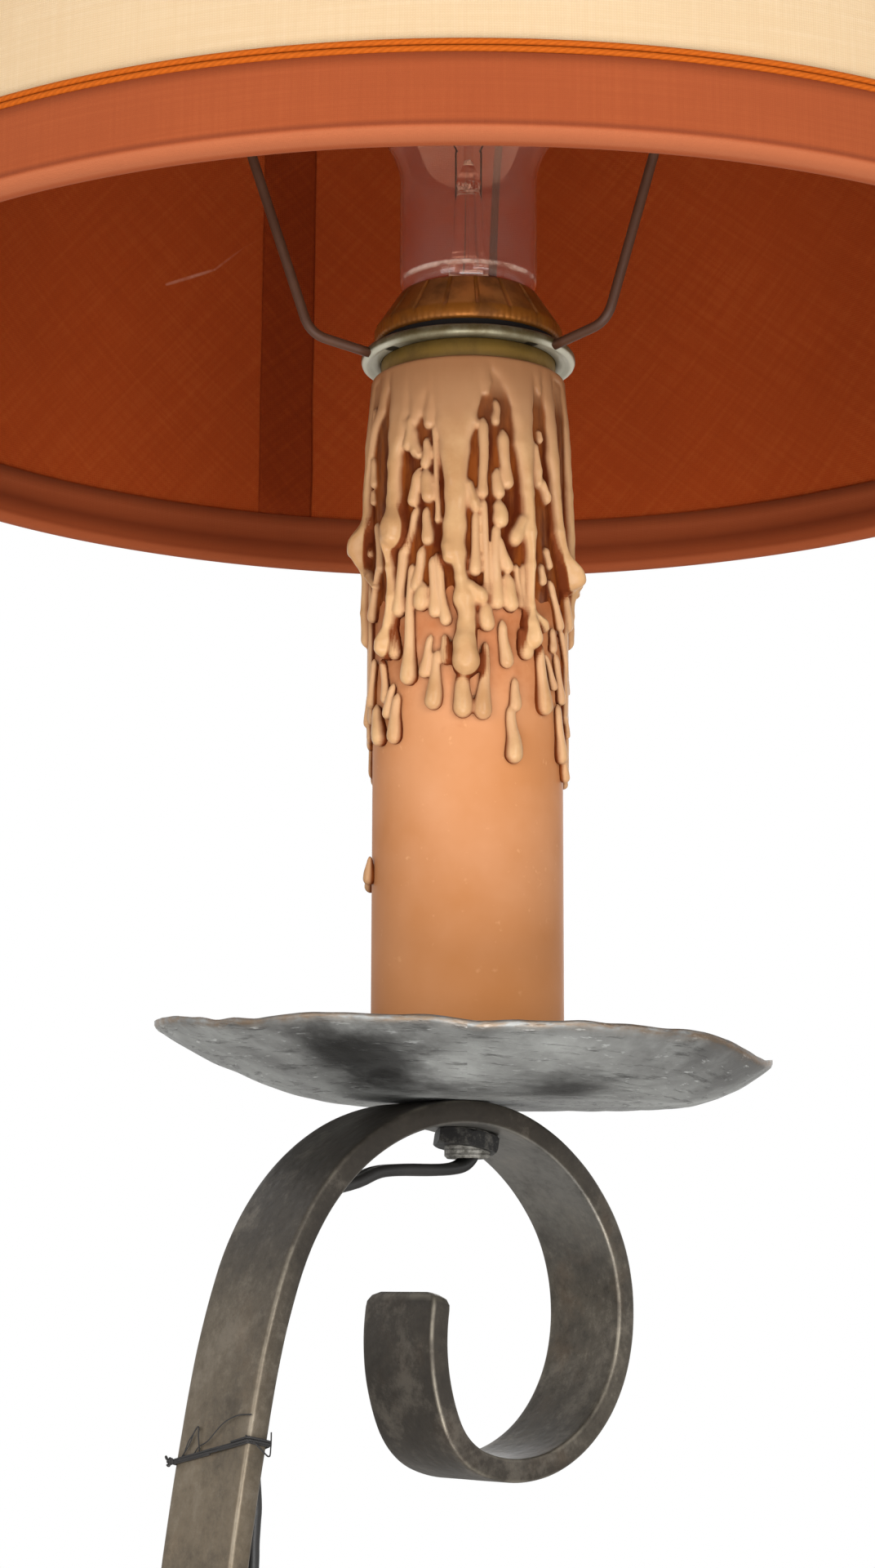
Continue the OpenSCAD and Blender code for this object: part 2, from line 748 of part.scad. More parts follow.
// An arm leaves the carrier ring nearly level, bends up and leans out to the top wire.
module shade_arm(turn) {
    foot = [arm_foot_r, arm_foot_z];
    knee = [arm_knee_r, arm_knee_z];
    top = [arm_top_r, arm_top_z];
    bend_r = 7;
    rise = atan2(knee[1] - foot[1], knee[0] - foot[0]);
    lean = atan2(top[1] - knee[1], top[0] - knee[0]);
    back = bend_r * tan((lean - rise) / 2);
    middle = knee - back * [cos(rise), sin(rise)] + bend_r * [-sin(rise), cos(rise)];
    bend = [for (k = [0:6]) let (a = rise + (lean - rise) * k / 6 - 90)
        middle + bend_r * [cos(a), sin(a)]];
    wire = [for (k = [0:11]) arm_wire / 2 * [cos(30 * k), sin(30 * k)]];
    placed("#4f3a2b")
        rotate(turn)
            tube_along([for (p = concat([foot], bend, [top])) [p[0], 0, p[1]]], [0, 1, 0], wire, 0);
}

module shade_arm_a() { shade_arm(arm_turns[0]); }
module shade_arm_b() { shade_arm(arm_turns[1]); }
module shade_arm_c() { shade_arm(arm_turns[2]); }

module wire_ring(r, z) {
    placed("#4f3a2b")
        translate([0, 0, z])
            rotate_extrude($fn = 120)
                translate([r, 0])
                    circle(r = ring_wire / 2, $fn = 24);
}

module shade_wire_bottom() { wire_ring(ring_r, shade_bottom + trim_t + ring_wire / 2); }
module shade_wire_top() { wire_ring(ring_r - shade_draw, shade_top - trim_t - ring_wire / 2); }

// Shade skin

// Radius of the wall's outer face, less an inset, at a height.
function wall_r(z, inset) = shade_r - inset - shade_draw * (z - shade_bottom) / shade_h;

module wall(inset, thickness, z_low, z_high) {
    rotate_extrude($fn = 144)
        polygon([
            [wall_r(z_low, inset + thickness), z_low], [wall_r(z_low, inset), z_low],
            [wall_r(z_high, inset), z_high], [wall_r(z_high, inset + thickness), z_high]]);
}

module shade_cover() {
    placed("#efd9ad")
        wall(cover_inset, cover_t, shade_bottom + trim_t, shade_top - trim_t);
}

module shade_lining() {
    placed("#843416")
        wall(lining_inset, lining_t, shade_bottom + trim_t, shade_top - trim_t);
}

seam_turn = 63.5;
seam_w = 15.4;

module lining_seam() {
    z_low = shade_bottom + trim_h + 1;
    z_high = shade_top - trim_h - 1;
    placed("#5d220f")
        rotate(seam_turn)
            rotate_extrude(angle = seam_w / shade_r * 180 / PI, $fn = 144)
                polygon([
                    [wall_r(z_low, skin_inset + 0.4), z_low], [wall_r(z_low, skin_inset), z_low],
                    [wall_r(z_high, skin_inset), z_high],
                    [wall_r(z_high, skin_inset + 0.4), z_high]]);
}

// The trim tape wraps the wire: a flat face outside, a rolled lip, and a flap inside.
function trim_profile(z0, up) =
    let (out = wall_r(z0, 0), wire_in = out - 2 * ring_span, z_wire = z0 + up * (ring_wire + 2 * trim_t))
    [
        [out - 0.9, z0], [out, z0 + up * 1.1], [wall_r(z0 + up * trim_h, 0), z0 + up * trim_h],
        [wall_r(z0 + up * trim_h, trim_t), z0 + up * trim_h], [out - trim_t, z0 + up * trim_t],
        [wire_in + 1.6, z0 + up * trim_t], [wire_in + trim_t, z0 + up * 1.9],
        [wire_in + trim_t, z_wire - up * 1.2],
        [wall_r(z0 + up * (trim_h - 8), skin_inset + trim_t), z0 + up * 8.4],
        [wall_r(z0 + up * (trim_h - 8), skin_inset), z0 + up * 8.4],
        [wall_r(z0 + up * trim_h, skin_inset), z0 + up * trim_h],
        [wall_r(z0 + up * trim_h, skin_inset + trim_t), z0 + up * trim_h],
        [wall_r(z0 + up * 8, skin_inset + 2 * trim_t), z0 + up * 7.6],
        [wire_in, z_wire - up * 0.8], [wire_in, z0 + up * 1.4], [wire_in + 1.1, z0]];

ring_span = shade_r - ring_r;

module trim_bottom() {
    placed("#b85c3a")
        rotate_extrude($fn = 144)
            polygon(trim_profile(shade_bottom, 1));
}

module trim_top() {
    placed("#b85c3a")
        rotate_extrude($fn = 144)
            polygon(trim_profile(shade_top, -1));
}

// Two cords side by side along the inner edge of each trim band.
module trim_piping() {
    placed("#bf6224")
        for (z = [
            piping_z, piping_z + piping_d + layer_gap, shade_top - trim_h - piping_d / 2,
            shade_top - trim_h - 1.5 * piping_d - layer_gap])
            translate([0, 0, z])
                rotate_extrude($fn = 144)
                    translate([wall_r(z, cover_inset) + (piping_d + layer_gap) / 2, 0])
                        circle(r = piping_d / 2, $fn = 16);
}

// Lead

function unit(v) = v / norm(v);

function headings(p) =
    [for (i = [0:len(p) - 1]) unit(p[min(i + 1, len(p) - 1)] - p[max(i - 1, 0)])];

// The flex's broad direction, carried along the route without twisting.
function carried(t, w, i = 0, out = []) =
    i == len(t) ? out :
    let (v = unit(w - (w * t[i]) * t[i]))
    carried(t, v, i + 1, concat(out, [v]));

flex_outline = [for (c = [
    [0.5, 0.2], [0.26, 0.5], [-0.26, 0.5], [-0.5, 0.2],
    [-0.5, -0.2], [-0.26, -0.5], [0.26, -0.5], [0.5, -0.2]]) [c[0] * flex_w, c[1] * flex_t]];

// One closed tube along a route, with a given outline and an even twist.
module tube_along(route, broad, outline, twist) {
    n = len(route);
    m = len(outline);
    t = headings(route);
    w = carried(t, broad);
    points = [for (i = [0:n - 1], c = outline)
        let (v = cross(t[i], w[i]), a = twist * i / (n - 1),
            x = c[0] * cos(a) - c[1] * sin(a), y = c[0] * sin(a) + c[1] * cos(a))
        route[i] + x * w[i] + y * v];
    sides = [for (i = [0:n - 2], k = [0:m - 1])
        let (a = i * m, b = (i + 1) * m, q = (k + 1) % m)
        each [[a + k, b + q, a + q], [a + k, b + k, b + q]]];
    ends = [[for (k = [0:m - 1]) k], [for (k = [m - 1:-1:0]) (n - 1) * m + k]];
    polyhedron(points, concat(sides, ends), convexity = 8);
}

crook_from_x = 34;
crook_to_z = 956;

// Slack of the held flex below the upper tie: off the bar, sideways, and height.
held_slack = [
    [0, 0, 953], [0.4, -0.8, 943], [2, -3.4, 930], [3.4, -5.2, 912], [3.6, -5, 880],
    [2.4, -3, 830], [1, -0.8, 770], [0.2, 0.5, 710], [0, 0.3, 660], [0, 0, 612],
    [0.3, 0.3, 560], [0.9, 1, 500], [0.6, 0.6, 430], [0, 0, 360], [0, 0, 310], [0, 0, 270]];

// Where the bar's middle line stands at a height of the stem.
function bar_lean(z) = asin(max(0, z - stem_top_z) / last_bend_r);
function bar_x(z) = stem_x + last_bend_r * (1 - cos(bar_lean(z)));

// The flex runs up the inside of the stem, under the crook and into the tube.
inside = bar_t / 2 + flex_gap + flex_t / 2;
crook_inside = [for (p = run_points(crook_steps))
    if (p[0] > crook_from_x && bar_mid_z + p[1] > crook_to_z)
        [-crown_x - p[0] + inside * sin(p[2]), 0, bar_mid_z + p[1] - inside * cos(p[2])]];
flex_level = tube_bottom - 2.4;
flex_in_holder = 18;
flex_above_crown = 60;
flex_in_tube = [
    [0, 0, holder_bottom + flex_in_holder], [0, 0, crown_z + flex_above_crown], [0, 0, tube_bottom + 4],
    [0, 0, tube_bottom + 0.8], [-0.7, 0, tube_bottom - 1], [-2.2, 0, tube_bottom - 2.1],
    [-5, 0, flex_level - 0.1], [-11, 0, flex_level - 0.3], [-19, 0, flex_level - 0.5],
    [-26, 0, flex_level - 1.2], [-32, 0, flex_level - 3.4]];
held_run = [for (p = held_slack) [bar_x(p[2]) + inside + p[0], p[1], p[2]]];

module flex_held() {
    placed("#1d1c1b")
        tube_along(
            concat(flex_in_tube, crook_inside, held_run),
            [0, 1, 0], flex_outline, 0);
}

// A tie is one thin thread wound round the bar and the flex.
tie_turns = 4;
tie_pitch = 1.1;
tie_off = thread_d / 2 + 0.15;

// The thread's way round one corner of the bar, as offsets in the quarter that the corner lies in.
tie_corner = [[tie_off, -0.5], [0.75 * tie_off, 0.75 * tie_off], [-0.5, tie_off]];
function round_corner(x, y) =
    [for (c = tie_corner) [sign(x) * (abs(x) + c[0]), sign(y) * (abs(y) + c[1])]];
function backward(list) = [for (i = [len(list) - 1:-1:0]) list[i]];

tie_path = concat(
    round_corner(-bar_t / 2, bar_w / 2), backward(round_corner(bar_t / 2, bar_w / 2)),
    [[bar_t / 2 + flex_t + tie_off + 0.1, flex_w / 2], [bar_t / 2 + flex_t + tie_off + 0.25, 0],
    [bar_t / 2 + flex_t + tie_off + 0.1, -flex_w / 2]],
    round_corner(bar_t / 2, -bar_w / 2), backward(round_corner(-bar_t / 2, -bar_w / 2)));

module flex_ties() {
    m = len(tie_path);
    thread = [for (k = [0:5]) thread_d / 2 * [cos(60 * k), sin(60 * k)]];
    placed("#191817")
        for (height = tie_heights)
            translate([bar_x(height), 0, height])
                rotate([0, bar_lean(height), 0])
                    tube_along(
                        [for (i = [0:tie_turns * m])
                            [tie_path[i % m][0], tie_path[i % m][1], tie_pitch * i / m]],
                        [0, 0, 1], thread, 0);
}

module flex_drop() {
    start = [flex_x, 0, lead_start_z];
    placed("#1d1c1b")
        tube_along([for (p = drop_route) start + p], [0, 1, 0], flex_outline, 0);
}

module flex_link() {
    placed("#1d1c1b")
        tube_along(link_route, [0, 1, 0], flex_outline, 90);
}

module flex_tail() {
    placed("#1d1c1b")
        tube_along(tail_route, [0, 0, 1], flex_outline, 90);
}

// The coil: turns spiral in on the floor, climb half a turn and spiral out on top.
coil_rings = 24;
coil_outline = [for (c = [[0.5, 0], [0.25, 0.5], [-0.25, 0.5], [-0.5, 0], [-0.25, -0.5], [0.25, -0.5]])
    [c[0] * flex_w, c[1] * flex_t]];

coil_total = 2 * coil_turns + 0.5;

function coil_point(s) =
    let (middle = coil_total / 2, r = coil_r - coil_pitch * (middle - abs(s - middle)),
        share = min(1, max(0, 2 * (s - coil_turns))), turn = -90 + 360 * s)
    [coil_at[0] + r * cos(turn), coil_at[1] + r * sin(turn),
        coil_low_z + coil_step * smooth(smooth(share))];

coil_count = coil_total * coil_rings;
coil_line = [for (i = [0:coil_count]) coil_point(i / coil_rings)];

module flex_coil() {
    placed("#1d1c1b")
        tube_along(coil_line, [0, 0, 1], coil_outline, 0);
}

// Least gap between two turns of the coil, across the thin way and across the broad way.
coil_gap = min([for (i = [0:coil_count], j = [i + coil_rings / 2:coil_count])
    let (d = coil_line[j] - coil_line[i], flat = norm([d[0], d[1]]), high = abs(d[2]))
    max(flat - flex_t, high - flex_w)]);
coil_length = sum_of([for (i = [1:coil_count]) norm(coil_line[i] - coil_line[i - 1])]);

function sum_of(list, i = 0) = i == len(list) ? 0 : list[i] + sum_of(list, i + 1);

// Foot switch

switch_wall = 2;
plate_t = 3;
button_travel = 3;
bore_gap = 0.3;
screw_x = 25;
screw_r = 1.6;
screw_top_z = plate_t + 4;
switch_cavity_r = switch_w / 2 - 3.5;
switch_roof_z = switch_h - 3;
button_under_z = switch_roof_z - bore_gap - 2;
core_len = 18;
core_h = 2.5;

module stadium(length, width, z, h) {
    translate([0, 0, z]) {
        for (side = [-1, 1])
            translate([side * (length - width) / 2, 0, 0])
                cylinder(r = width / 2, h = h);
        translate([-(length - width) / 2, -width / 2, 0])
            cube([length - width, width, h]);
    }
}

module at_switch() {
    translate([switch_at[0], switch_at[1], 0])
        children();
}

module switch_base() {
    placed("#26231f")
        at_switch()
            difference() {
                stadium(switch_len - 2 * switch_wall - 0.2, switch_w - 2 * switch_wall - 0.2, 0, plate_t);
                for (side = [-1, 1])
                    translate([side * screw_x, 0, -1])
                        cylinder(r = screw_r, h = plate_t + 2);
            }
}

module switch_cover() {
    placed("#2b2723")
        at_switch()
            difference() {
                union() {
                    stadium(switch_len, switch_w, 0, switch_h - 4);
                    stadium(switch_len - 5, switch_w - 5, switch_h - 4, 2.6);
                    stadium(switch_len - 12, switch_w - 12, switch_h - 1.4, 1.4);
                }
                stadium(switch_len - 2 * switch_wall, switch_w - 2 * switch_wall, -1, plate_t + 1);
                cylinder(r = switch_cavity_r, h = switch_roof_z);
                cylinder(r = button_r + bore_gap, h = switch_h + 1);
                for (side = [-1, 1])
                    translate([side * screw_x, 0, 0])
                        cylinder(r = screw_r, h = screw_top_z);
            }
}

// The latching block under the button, with the two terminals that the flex is screwed to.
module switch_core() {
    placed("#3a3631")
        at_switch() {
            translate([-core_len / 2, -core_len / 3, plate_t])
                cube([core_len, core_len / 1.5, core_h]);
            translate([0, 0, plate_t + core_h])
                cylinder(r = 3.2, h = button_under_z - button_travel - bore_gap - plate_t - core_h);
        }
}

module switch_button() {
    top = switch_h + button_travel + 2;
    flange_r = button_r + 1.6;
    flange_z = switch_roof_z - bore_gap;
    placed("#8a8176")
        at_switch()
            rotate_extrude()
                polygon([
                    [0, button_under_z], [flange_r, button_under_z], [flange_r, flange_z],
                    [button_r, flange_z], [button_r, top - 1.6], [button_r - 1.2, top - 0.4],
                    [button_r - 4, top], [0, top]]);
}

module switch_screws() {
    placed("#8f8a80")
        at_switch()
            for (side = [-1, 1])
                translate([side * screw_x, 0, 0])
                    rotate_extrude()
                        polygon([
                            [0, 0.2], [screw_r, 0.2], [screw_r, screw_top_z - 1], [0, screw_top_z]]);
}

// Plug

module plug_body() {
    half = 17.5;
    waist = 7;
    x0 = plug_at[0];
    relief = 22;
    placed("#1f1e1d")
        translate([0, plug_at[1], plug_t / 2])
            union() {
                translate([x0 - relief - 36, 0, -plug_t / 2])
                    linear_extrude(plug_t)
                        polygon([
                            [0, -half + 4], [0, half - 4], [14, half - 4], [22, half - 1],
                            [30, waist + 2], [36, waist - 1], [36, -waist + 1], [30, -waist - 2],
                            [22, -half + 1], [14, -half + 4]]);
                translate([x0 - relief, 0, 0])
                    rotate([0, 90, 0])
                        rotate_extrude()
                            polygon([
                                [0, 0], [5.8, 0], [5.4, 5], [4.8, 5.2], [4.8, 6.8], [5.2, 7],
                                [4.6, 12], [4.2, 12.2], [4.2, 13.8], [4.4, 14], [3.6, relief],
                                [0, relief]]);
            }
}

pin_r = 2;
pin_len = 19;
pin_spacing = 18.6;

module plug_pins() {
    x1 = plug_at[0] - 22 - 36;
    placed("#c8c4ba")
        for (side = [-1, 1])
            translate([x1, plug_at[1] + side * pin_spacing / 2, plug_t / 2])
                rotate([0, -90, 0])
                    rotate_extrude()
                        polygon([
                            [0, 0], [pin_r, 0], [pin_r, pin_len - 1.2], [pin_r - 0.7, pin_len - 0.3],
                            [pin_r - 1.3, pin_len], [0, pin_len]]);
}

echo(coil_gap = coil_gap, coil_length = coil_length, foot_run = foot_run, tread_len = tread_len);
echo(middle_x = middle_x, toe_reach = toe_reach);

stem_bar();
hub();
stem_pin();
leg_front();
leg_left();
leg_right();
leg_rivets();
foot_pads();
riser_tube();
locknut_lower();
drip_pan();
sleeve_disc();
pan_washer();
locknut_upper();
candle_sleeve();
wax_drips();
holder_cap();
holder_body();
holder_shell();
holder_contact();
holder_collar();
shade_gasket();
shade_ring();
bulb_cap();
bulb_contact();
bulb_glass();
bulb_mount();
bulb_filament();
carrier_ring();
shade_arm_a();
shade_arm_b();
shade_arm_c();
shade_wire_bottom();
shade_wire_top();
shade_cover();
shade_lining();
lining_seam();
trim_bottom();
trim_top();
trim_piping();
flex_held();
flex_ties();
flex_drop();
switch_base();
switch_cover();
switch_core();
switch_button();
switch_screws();
flex_link();
flex_coil();
flex_tail();
plug_body();
plug_pins();
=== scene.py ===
# Floor lamp with a crook stem, a hammered drip pan, a dripping candle and a drum shade.
# Sizes are millimetres, turned into metres by MM. Pieces are drawn about the candle's axis.

import json
import math
import random

import bpy
import numpy as np
from mathutils import Matrix, Vector, noise


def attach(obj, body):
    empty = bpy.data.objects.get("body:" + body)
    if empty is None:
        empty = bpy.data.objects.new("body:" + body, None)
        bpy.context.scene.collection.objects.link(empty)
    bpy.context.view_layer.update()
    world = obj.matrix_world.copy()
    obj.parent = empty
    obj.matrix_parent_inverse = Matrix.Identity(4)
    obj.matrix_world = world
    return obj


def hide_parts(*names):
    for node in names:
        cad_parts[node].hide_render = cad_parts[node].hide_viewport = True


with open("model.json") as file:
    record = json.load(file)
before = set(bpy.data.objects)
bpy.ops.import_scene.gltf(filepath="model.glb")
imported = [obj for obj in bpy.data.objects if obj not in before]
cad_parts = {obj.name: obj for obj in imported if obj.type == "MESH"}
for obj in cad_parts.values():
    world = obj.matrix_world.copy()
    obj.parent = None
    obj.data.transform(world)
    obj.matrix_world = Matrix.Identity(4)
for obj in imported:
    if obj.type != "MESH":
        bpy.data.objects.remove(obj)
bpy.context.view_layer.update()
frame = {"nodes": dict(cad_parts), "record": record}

MM = 0.001
RECORD = frame["record"]
AXIS_X = next(j for j in RECORD["behaviour"]["joints"] if j["name"] == "shade_turn")["pos_m"][0]
FRONT_TURN = math.radians(-132.8)


def place(x, y, z):
    """A point given from the candle's axis in millimetres, as a point of the frame in metres."""
    return Vector((x * MM + AXIS_X, y * MM, z * MM))


def around(radius, turn, z):
    """A point by radius, turn in degrees from the side that faces the camera, and height."""
    a = FRONT_TURN + math.radians(turn)
    return place(radius * math.cos(a), radius * math.sin(a), z)


# Camera

FRAME_W = 1072
FRAME_H = 1920
FOCAL_PX = 3525.7
CAMERA_DISTANCE = 624.8
CAMERA_HEIGHT = 985.5
CAMERA_PITCH = math.radians(9.9)
CAMERA_ROLL = math.radians(0.18)
LOOK_TURN = math.radians(42.78 - 0.61)
STAND_TURN = math.radians(42.78)


def make_camera():
    ahead = Vector((math.sin(LOOK_TURN) * math.cos(CAMERA_PITCH),
                    math.cos(LOOK_TURN) * math.cos(CAMERA_PITCH), math.sin(CAMERA_PITCH)))
    level = Vector((math.cos(LOOK_TURN), -math.sin(LOOK_TURN), 0))
    above = level.cross(ahead)
    right = level * math.cos(CAMERA_ROLL) + above * math.sin(CAMERA_ROLL)
    up = above * math.cos(CAMERA_ROLL) - level * math.sin(CAMERA_ROLL)
    data = bpy.data.cameras.new("camera")
    data.sensor_fit = "VERTICAL"
    data.sensor_height = 36
    data.lens = FOCAL_PX / FRAME_H * data.sensor_height
    data.clip_start = 0.01
    camera = bpy.data.objects.new("camera", data)
    bpy.context.collection.objects.link(camera)
    camera.matrix_world = Matrix.Translation(place(
        -CAMERA_DISTANCE * math.sin(STAND_TURN), -CAMERA_DISTANCE * math.cos(STAND_TURN),
        CAMERA_HEIGHT)) @ Matrix((right, up, -ahead)).transposed().to_4x4()
    bpy.context.scene.camera = camera


make_camera()


# Mesh helpers

def mesh_object(name, points, faces, uvs=None, smooth=True):
    """A mesh object. uvs holds one (u, v) in metres for each corner of each face."""
    mesh = bpy.data.meshes.new(name)
    mesh.from_pydata([tuple(p) for p in points], [], faces)
    if uvs is not None:
        layer = mesh.uv_layers.new(name="surface")
        layer.data.foreach_set("uv", np.asarray(uvs, dtype=np.float32).ravel())
    mesh.polygons.foreach_set("use_smooth", [smooth] * len(mesh.polygons))
    mesh.update()
    piece = bpy.data.objects.new(name, mesh)
    bpy.context.collection.objects.link(piece)
    return piece


def ring_faces(rings, sides, closed_rings=False, first=0):
    """Quads that join rings of points, each ring closed on itself."""
    faces = []
    for j in range(rings if closed_rings else rings - 1):
        a = first + j * sides
        b = first + (j + 1) % rings * sides
        for i in range(sides):
            n = (i + 1) % sides
            faces.append((a + i, a + n, b + n, b + i))
    return faces


def ring_uvs(rings, sides, along, across, closed_rings=False):
    """Corner uvs that match ring_faces: along[j] for each ring, across(j, i) round it."""
    uvs = []
    for j in range(rings if closed_rings else rings - 1):
        for i in range(sides):
            for jj, ii in ((j, i), (j, i + 1), (j + 1, i + 1), (j + 1, i)):
                uvs.append((across(jj % rings, ii), along[jj]))
    return uvs


def lathe(name, profile, sides=128, wobble=None, start=0.0):
    """A closed profile of (radius, z) turned about the candle's axis."""
    rings = len(profile)
    points = []
    for r, z in profile:
        for i in range(sides):
            a = start + 2 * math.pi * i / sides
            dr, dz = wobble(a, r, z) if wobble else (0, 0)
            points.append(place((r + dr) * math.cos(a), (r + dr) * math.sin(a), z + dz))
    along = [0.0]
    for j in range(rings):
        (r0, z0), (r1, z1) = profile[j], profile[(j + 1) % rings]
        along.append(along[-1] + math.hypot(r1 - r0, z1 - z0) * MM)
    return mesh_object(
        name, points, ring_faces(rings, sides, True),
        ring_uvs(rings, sides, along,
                 lambda j, i: 2 * math.pi * i / sides * profile[0][0] * MM, True))


def carried_frames(points, broad):
    """Directions along a route, and a broad direction carried along it without twisting."""
    count = len(points)
    heads = [(points[min(i + 1, count - 1)] - points[max(i - 1, 0)]).normalized()
             for i in range(count)]
    broads = []
    w = Vector(broad)
    for t in heads:
        w = (w - t * w.dot(t)).normalized()
        broads.append(w.copy())
    return heads, broads


def sweep(name, points, broad, outline, twist=0.0, size=None, caps=True):
    """An outline swept along points. outline is (x, y) in metres, or a function of the step."""
    heads, broads = carried_frames(points, broad)
    count = len(points)
    verts = []
    sides = None
    for i, p in enumerate(points):
        v = heads[i].cross(broads[i])
        a = twist * i / (count - 1)
        ring = outline(i) if callable(outline) else outline
        sides = len(ring)
        k = size(i / (count - 1)) if size else 1.0
        for x, y in ring:
            c = (x * math.cos(a) - y * math.sin(a)) * k
            s = (x * math.sin(a) + y * math.cos(a)) * k
            verts.append(p + broads[i] * c + v * s)
    along = [0.0]
    for i in range(count - 1):
        along.append(along[-1] + (points[i + 1] - points[i]).length)
    girth = [0.0]
    ring = outline(0) if callable(outline) else outline
    for k in range(sides):
        girth.append(girth[-1] + math.dist(ring[k], ring[(k + 1) % sides]))
    faces = ring_faces(count, sides)
    uvs = ring_uvs(count, sides, along, lambda j, i: girth[i])
    if caps:
        faces.append(tuple(range(sides - 1, -1, -1)))
        faces.append(tuple((count - 1) * sides + k for k in range(sides)))
        uvs += [(girth[k], 0) for k in range(sides - 1, -1, -1)]
        uvs += [(girth[k], along[-1]) for k in range(sides)]
    return mesh_object(name, verts, faces, uvs)


def circle_outline(radius, sides=10):
    return [(radius * math.cos(2 * math.pi * k / sides), radius * math.sin(2 * math.pi * k / sides))
            for k in range(sides)]


def smooth_route(points, per_span=6):
    """Catmull-Rom points through a route."""
    out = []
    count = len(points)
    for i in range(count - 1):
        p0 = points[max(i - 1, 0)]
        p1 = points[i]
        p2 = points[i + 1]
        p3 = points[min(i + 2, count - 1)]
        for k in range(per_span):
            t = k / per_span
            out.append(0.5 * ((2 * p1) + (p2 - p0) * t + (2 * p0 - 5 * p1 + 4 * p2 - p3) * t * t
                              + (3 * p1 - p0 - 3 * p2 + p3) * t ** 3))
    out.append(points[-1].copy())
    return out


def finish_piece(piece, material, body, slot, *nodes):
    """Material, body, record slot (not used) and the CAD nodes that a piece stands for."""
    piece.data.materials.clear()
    piece.data.materials.append(material)
    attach(piece, body)
    if nodes:
        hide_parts(*nodes)
    return piece


def seen_at(x, y, r, far=False):
    """Turn in degrees and height where the sight line of a photograph's pixel meets a radius."""
    camera = bpy.context.scene.camera.matrix_world
    eye = camera.translation
    sight = camera.to_3x3() @ Vector(((x - FRAME_W / 2) / FOCAL_PX, (FRAME_H / 2 - y) / FOCAL_PX, -1))
    away = Vector((eye.x - AXIS_X, eye.y))
    flat = Vector((sight.x, sight.y))
    a = flat.dot(flat)
    b = away.dot(flat)
    inside = b * b - a * (away.dot(away) - (r * MM) ** 2)
    root = math.sqrt(max(0, inside))
    hit = eye + sight * ((-b + (root if far else -root)) / a)
    turn = math.degrees(math.atan2(hit.y, hit.x - AXIS_X) - FRONT_TURN)
    return (turn + 180) % 360 - 180, hit.z / MM


# Materials

# Pale scratches on the lining, in the photograph's pixels.
SCRATCHES_SEEN = [(203, 349), (262, 331), (298, 304), (322, 292), (352, 287)]
LINING_FACE_R = 155.0
# A wave texture has 3.18 bands for each unit of its scale, so this is a thread of 1 mm pitch.
THREAD_WAVE = 314.0
# Turns of the carrier's slots, painted as near-black spots for the shade inside them, from the side that faces the
# camera.
CARRIER_SLOTS = (-54, 42, 133, 219)
# Smoke stains under the pan, as places about the candle's axis.
PAN_STAINS = [(-46, -22), (-28, -15), (-10, -38)]


